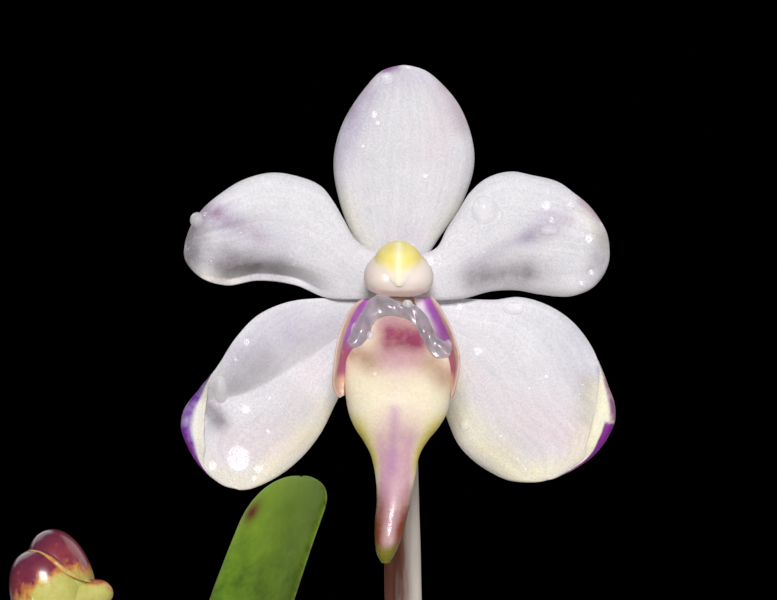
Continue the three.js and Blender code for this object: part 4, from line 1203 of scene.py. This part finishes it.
tint = node(t, "MixRGB", border, warm, lime)
connect(t, shader, Base_Color=tint)


def ripened(rings):
    """The bud turns from maroon to yellow-green towards the spur, by the distance from a point there."""
    away = np.linalg.norm((rings - (4.0, -30.5, 214.8)) * (0.85, 0.45, 1), axis=-1)
    return step_between(-away, -4.7, -1.9)


def darkened(rings):
    """The purple that the sun brought to the side away from the spur, by how far left and up it lies."""
    return 0.85 * step_between(rings[..., 2] - rings[..., 0], 215.5, 220.5)


front_lobe = lobed(BUD + (-0.5, -0.25, -0.4), (2.75, 2.9, 3.5), -16, 0.35)
back_lobe = lobed(BUD + (0.35, 0.6, 0.8), (2.25, 2.9, 3.6), -22, 0.1)
bud_rings = np.stack([front_lobe, back_lobe])
put_on(skin("large_bud_sepals", bud_rings, {"green": ripened(bud_rings), "purple": darkened(bud_rings)}),
       bud_skin, "bud", "large_bud")
SPUR = [(1.0, -28.7, 215.2), (2.9, -28.8, 215.6), (4.3, -28.65, 216.0), (5.5, -28.45, 216.25),
        (6.7, -28.3, 216.15)]
# The spur narrows with the square of the distance from its tip.
spur_radius = lambda s, a: (0.95 + 2.0 * (1 - s) ** 2) * round_ends(s, 0.1, 0.2) + 0 * a
rings = carried(SPUR, spur_radius, eased(90), 48)
x, z = rings[..., 0], rings[..., 2]
green = np.maximum(ripened(rings), step_between(x, 3.5, 6) * 0.7)
green = green - 0.5 * step_between(z, 216.5, 217.3) * (1 - step_between(x, 5.6, 6.4))
put_on(skin("large_bud_green_spur", rings, {"green": green}), bud_skin, "bud_spur", "large_bud_spur")
RIB = [(0.5, -28.9, 219.5), (1.6, -29.7, 219.3), (2.5, -30.1, 218.85), (3.3, -30.2, 218.2),
       (4.1, -30.0, 217.7), (5.2, -29.4, 217.2)]
# The bright edge is a thin thread that swells as a sine does.
rib_radius = lambda s, a: 0.19 * np.sin(np.pi * (0.12 + 0.8 * s)) * round_ends(s, 0.1, 0.1) + 0 * a
rings = carried(RIB, rib_radius, eased(60), 24)
put_on(skin("large_bud_sepal_edge", rings, {"green": 0.5 + 0.3 * ripened(rings)}), bud_skin, "bud")
rings = lobed(SMALL_BUD, (1.5, 1.5, 1.8), 8, 0.1)
put_on(skin("small_bud_sepals", rings, {"green": 0.15}), bud_skin, "bud", "small_bud")


# Water: drops left by a misting. They sit on the flower as flattened domes, bright where the light
# gathers in them, and a fine dew of much smaller ones glints between them.
DEW_COUNT = 260
# For each piece, the x, z, half width and half height of its drops, in millimetres.
CLEAR_DROPS = {
    "dorsal_sepal": [(-0.97, 16.5, 0.5, 0.5)],
    "petal_left": [(-15.1, 5.95, 0.55, 0.6)],
    "petal_right": [(12.6, 7.0, 0.45, 0.4), (6.3, 6.7, 0.95, 1.1), (11.0, 5.2, 0.7, 0.42)],
    "lateral_sepal_right": [(8.45, -0.6, 0.8, 0.5), (4.9, -9.45, 0.42, 0.42)],
    "lateral_sepal_left": [(-13.35, -6.7, 0.6, 1.3)],
    "crest": [(0.48, -0.3, 0.4, 0.34), (-2.0, -2.6, 0.3, 0.3)],
    "lobe_left": [(-3.3, -2.4, 0.45, 0.75)],
    "lobe_right": [(3.5, -3.2, 0.4, 0.36)],
}
BRIGHT_DROPS = {
    "dorsal_sepal": [(-1.9, 13.9, 0.2, 0.24), (-1.6, 13.3, 0.15, 0.15), (1.9, 9.4, 0.16, 0.16),
                     (-2.7, 11.6, 0.14, 0.14)],
    "petal_left": [(-14.45, 6.35, 0.15, 0.15)],
    "petal_right": [(10.8, 7.0, 0.3, 0.3), (11.25, 5.95, 0.2, 0.2), (14.0, 4.55, 0.28, 0.3),
                    (14.2, 2.1, 0.2, 0.25), (13.5, 1.3, 0.16, 0.16), (2.2, 2.9, 0.24, 0.3)],
    "lateral_sepal_right": [(4.45, -0.3, 0.22, 0.42), (5.85, -3.85, 0.3, 0.3), (10.95, -5.6, 0.14, 0.14),
                            (7.5, -10.2, 0.1, 0.1)],
    "lateral_sepal_left": [(-12.1, -11.8, 0.85, 0.95), (-11.55, -8.2, 0.34, 0.3),
                           (-9.7, -7.3, 0.13, 0.13), (-14.0, -12.4, 0.3, 0.3), (-10.6, -12.6, 0.32, 0.28),
                           (-10.9, -13.3, 0.16, 0.16), (-11.4, -3.2, 0.22, 0.26),
                           (-12.1, -4.3, 0.14, 0.2), (-9.9, -9.8, 0.12, 0.14)],
    "anther_cap": [(-1.1, 1.6, 0.3, 0.28)],
    "crest": [(-0.1, -0.3, 0.12, 0.14)],
    "lobe_left": [(-4.15, -3.7, 0.16, 0.26), (-4.2, -6.1, 0.13, 0.13), (-4.2, -6.6, 0.13, 0.15)],
    "lip": [(-1.8, -5.3, 0.12, 0.12)],
}


def domes(centre, normal, wide, tall, flatness, rings=12, around=20):
    """Flattened ellipsoids. Each stands on its normal, with its tall side along the surface's upward
    direction, and its thickness is flatness times the mean of its two half widths."""
    normal = unit(normal)
    side = unit(np.cross(normal, (0.0, 0.0, 1.0)))
    up = np.cross(side, normal)
    polar = np.linspace(0.02, np.pi - 0.02, rings)[:, None]
    turn = circle(around)[None, :]
    a, b, c = np.sin(polar) * np.cos(turn), np.sin(polar) * np.sin(turn), np.cos(polar) + 0 * turn
    wide, tall = np.asarray(wide)[:, None, None], np.asarray(tall)[:, None, None]
    thick = np.asarray(flatness)[:, None, None] * (wide + tall) / 2
    spread = [(wide * a)[..., None] * side[:, None, None], (tall * b)[..., None] * up[:, None, None],
              (thick * c)[..., None] * normal[:, None, None]]
    return centre[:, None, None] + sum(spread)


def footing(name, x, z):
    """The point of a piece's front nearest to x and z as the viewer sees it, and its normal there."""
    sheet = seats[name]
    distance = (sheet[..., 0] - x) ** 2 + (sheet[..., 2] - z) ** 2 + 0.02 * sheet[..., 1]
    i, j = np.unravel_index(distance.argmin(), distance.shape)
    return sheet[i, j], face_normal(sheet)[i, j]


# Water gathers the light and throws it on what it lies on, so a drop casts no shadow here, and a share
# of it is painted plain white as a painted glow. Each kind has its drops, its thickness by its width, and
# how clear it is.
WATERS = (("clear", CLEAR_DROPS, 0.9, 0.7), ("glinting", BRIGHT_DROPS, 0.6, 0.95))
for name, table, roundness, clear in WATERS:
    water, t, shader, place = new_material(name + " water", Roughness=0.02, IOR=1.333,
                                           Transmission_Weight=clear)
    cloud = node(t, "TexNoise", Vector=place, Scale=per_mm(0.6), Detail=1.0)
    connect(t, shader, Base_Color=node(t, "MixRGB", cloud, "#f4f1f5", "#ffffff"))
    feet = [footing(seat, x, z) for seat, rows in table.items() for x, z, _, _ in rows]
    centre, normal = (np.array(part) for part in zip(*feet))
    wide, tall = np.array([row[2:] for rows in table.values() for row in rows]).T
    drops = skin(name + "_drops", FLOWER + domes(centre, normal, wide, tall, roundness + 0 * wide, 20, 36))
    put_on(drops, water, "tepal")
    drops.visible_shadow = False
    # Only the small drops light what is round them.
    drops.visible_diffuse = name == "glinting"

rng = np.random.default_rng(23)
sheets = [seats[name][12:-6, 12:-12].reshape(-1, 3) for name in TEPALS]
ups = [face_normal(seats[name])[12:-6, 12:-12].reshape(-1, 3) for name in TEPALS]
sheets, ups = np.concatenate(sheets), np.concatenate(ups)
seen = np.flatnonzero(ups[:, 1] < -0.6)
chosen = rng.choice(seen, DEW_COUNT, replace=False)
size = 0.03 + 0.06 * rng.random(DEW_COUNT) ** 3
dew = skin("fine_dew",
           FLOWER + domes(sheets[chosen], ups[chosen], size, size, 0.8 + 0 * size, rings=5, around=8))
put_on(dew, water, "tepal")
dew.visible_shadow = False


# Floor, light and camera. A pale board lies under the pot, a soft lamp high above the lens lights
# the flower from the front, and wide, weak lamps fill the sides and the back.
FLOOR_HALF = 1200
bpy.ops.mesh.primitive_plane_add(size=2 * FLOOR_HALF * MM, location=(0, 0, 0))
floor = bpy.context.object
floor.name = "floor"
floor_paint, *_ = new_material("matt pale paint", Roughness=0.8, Base_Color="#dcd9d3")
floor.data.materials.append(floor_paint)

world = bpy.data.worlds.new("dark room")
bpy.context.scene.world = world
world.use_nodes = True
connect(world.node_tree, world.node_tree.nodes["Background"], Color=(0, 0, 0, 1), Strength=1.0)
bpy.context.scene.view_settings.view_transform = "Standard"

VIEW_CENTRE = FLOWER + (-0.856, 0, 0)
LENS = 100
SENSOR = 36
CAMERA_DISTANCE = 160.6


def aimed(name, data, place, target):
    """An object at place, in millimetres, that looks at target."""
    made = bpy.data.objects.new(name, data)
    bpy.context.collection.objects.link(made)
    back = unit(np.asarray(place, float) - np.asarray(target, float))
    across = unit(np.cross((0, 0, 1), back))
    up = np.cross(back, across)
    # Blender takes a matrix given as plain rows column by column.
    axes = np.zeros((4, 4))
    axes[:3, :3] = across, up, back
    axes[3] = (*np.asarray(place, float) * MM, 1)
    made.matrix_world = axes.tolist()
    return made


camera_data = bpy.data.cameras.new("camera")
camera_data.lens = LENS
camera_data.sensor_width = SENSOR
camera_data.clip_start = 0.01
camera = aimed("camera", camera_data, VIEW_CENTRE + (0, -CAMERA_DISTANCE, 0), VIEW_CENTRE)
bpy.context.scene.camera = camera

# Bearing from the front and height, in degrees, then distance, size, watts and target.
LAMPS = {
    "key": (0, 26, 620, 170, 3.7, VIEW_CENTRE),
    "front_fill": (25, 8, 1100, 900, 1.6, (0, 0, 160)),
    "back_left": (215, 35, 1200, 900, 3.2, (0, 0, 140)),
    "back_right": (130, 35, 1200, 900, 3.2, (0, 0, 140)),
}
for name, (bearing, height, distance, size, watts, target) in LAMPS.items():
    lamp = bpy.data.lights.new(name, "AREA")
    lamp.size = size * MM
    lamp.energy = watts
    a, e = np.radians(bearing), np.radians(height)
    way = np.array([np.sin(a) * np.cos(e), -np.cos(a) * np.cos(e), np.sin(e)])
    lit = aimed(name + "_lamp", lamp, np.asarray(target) + distance * way, target)
    lit.visible_camera = False
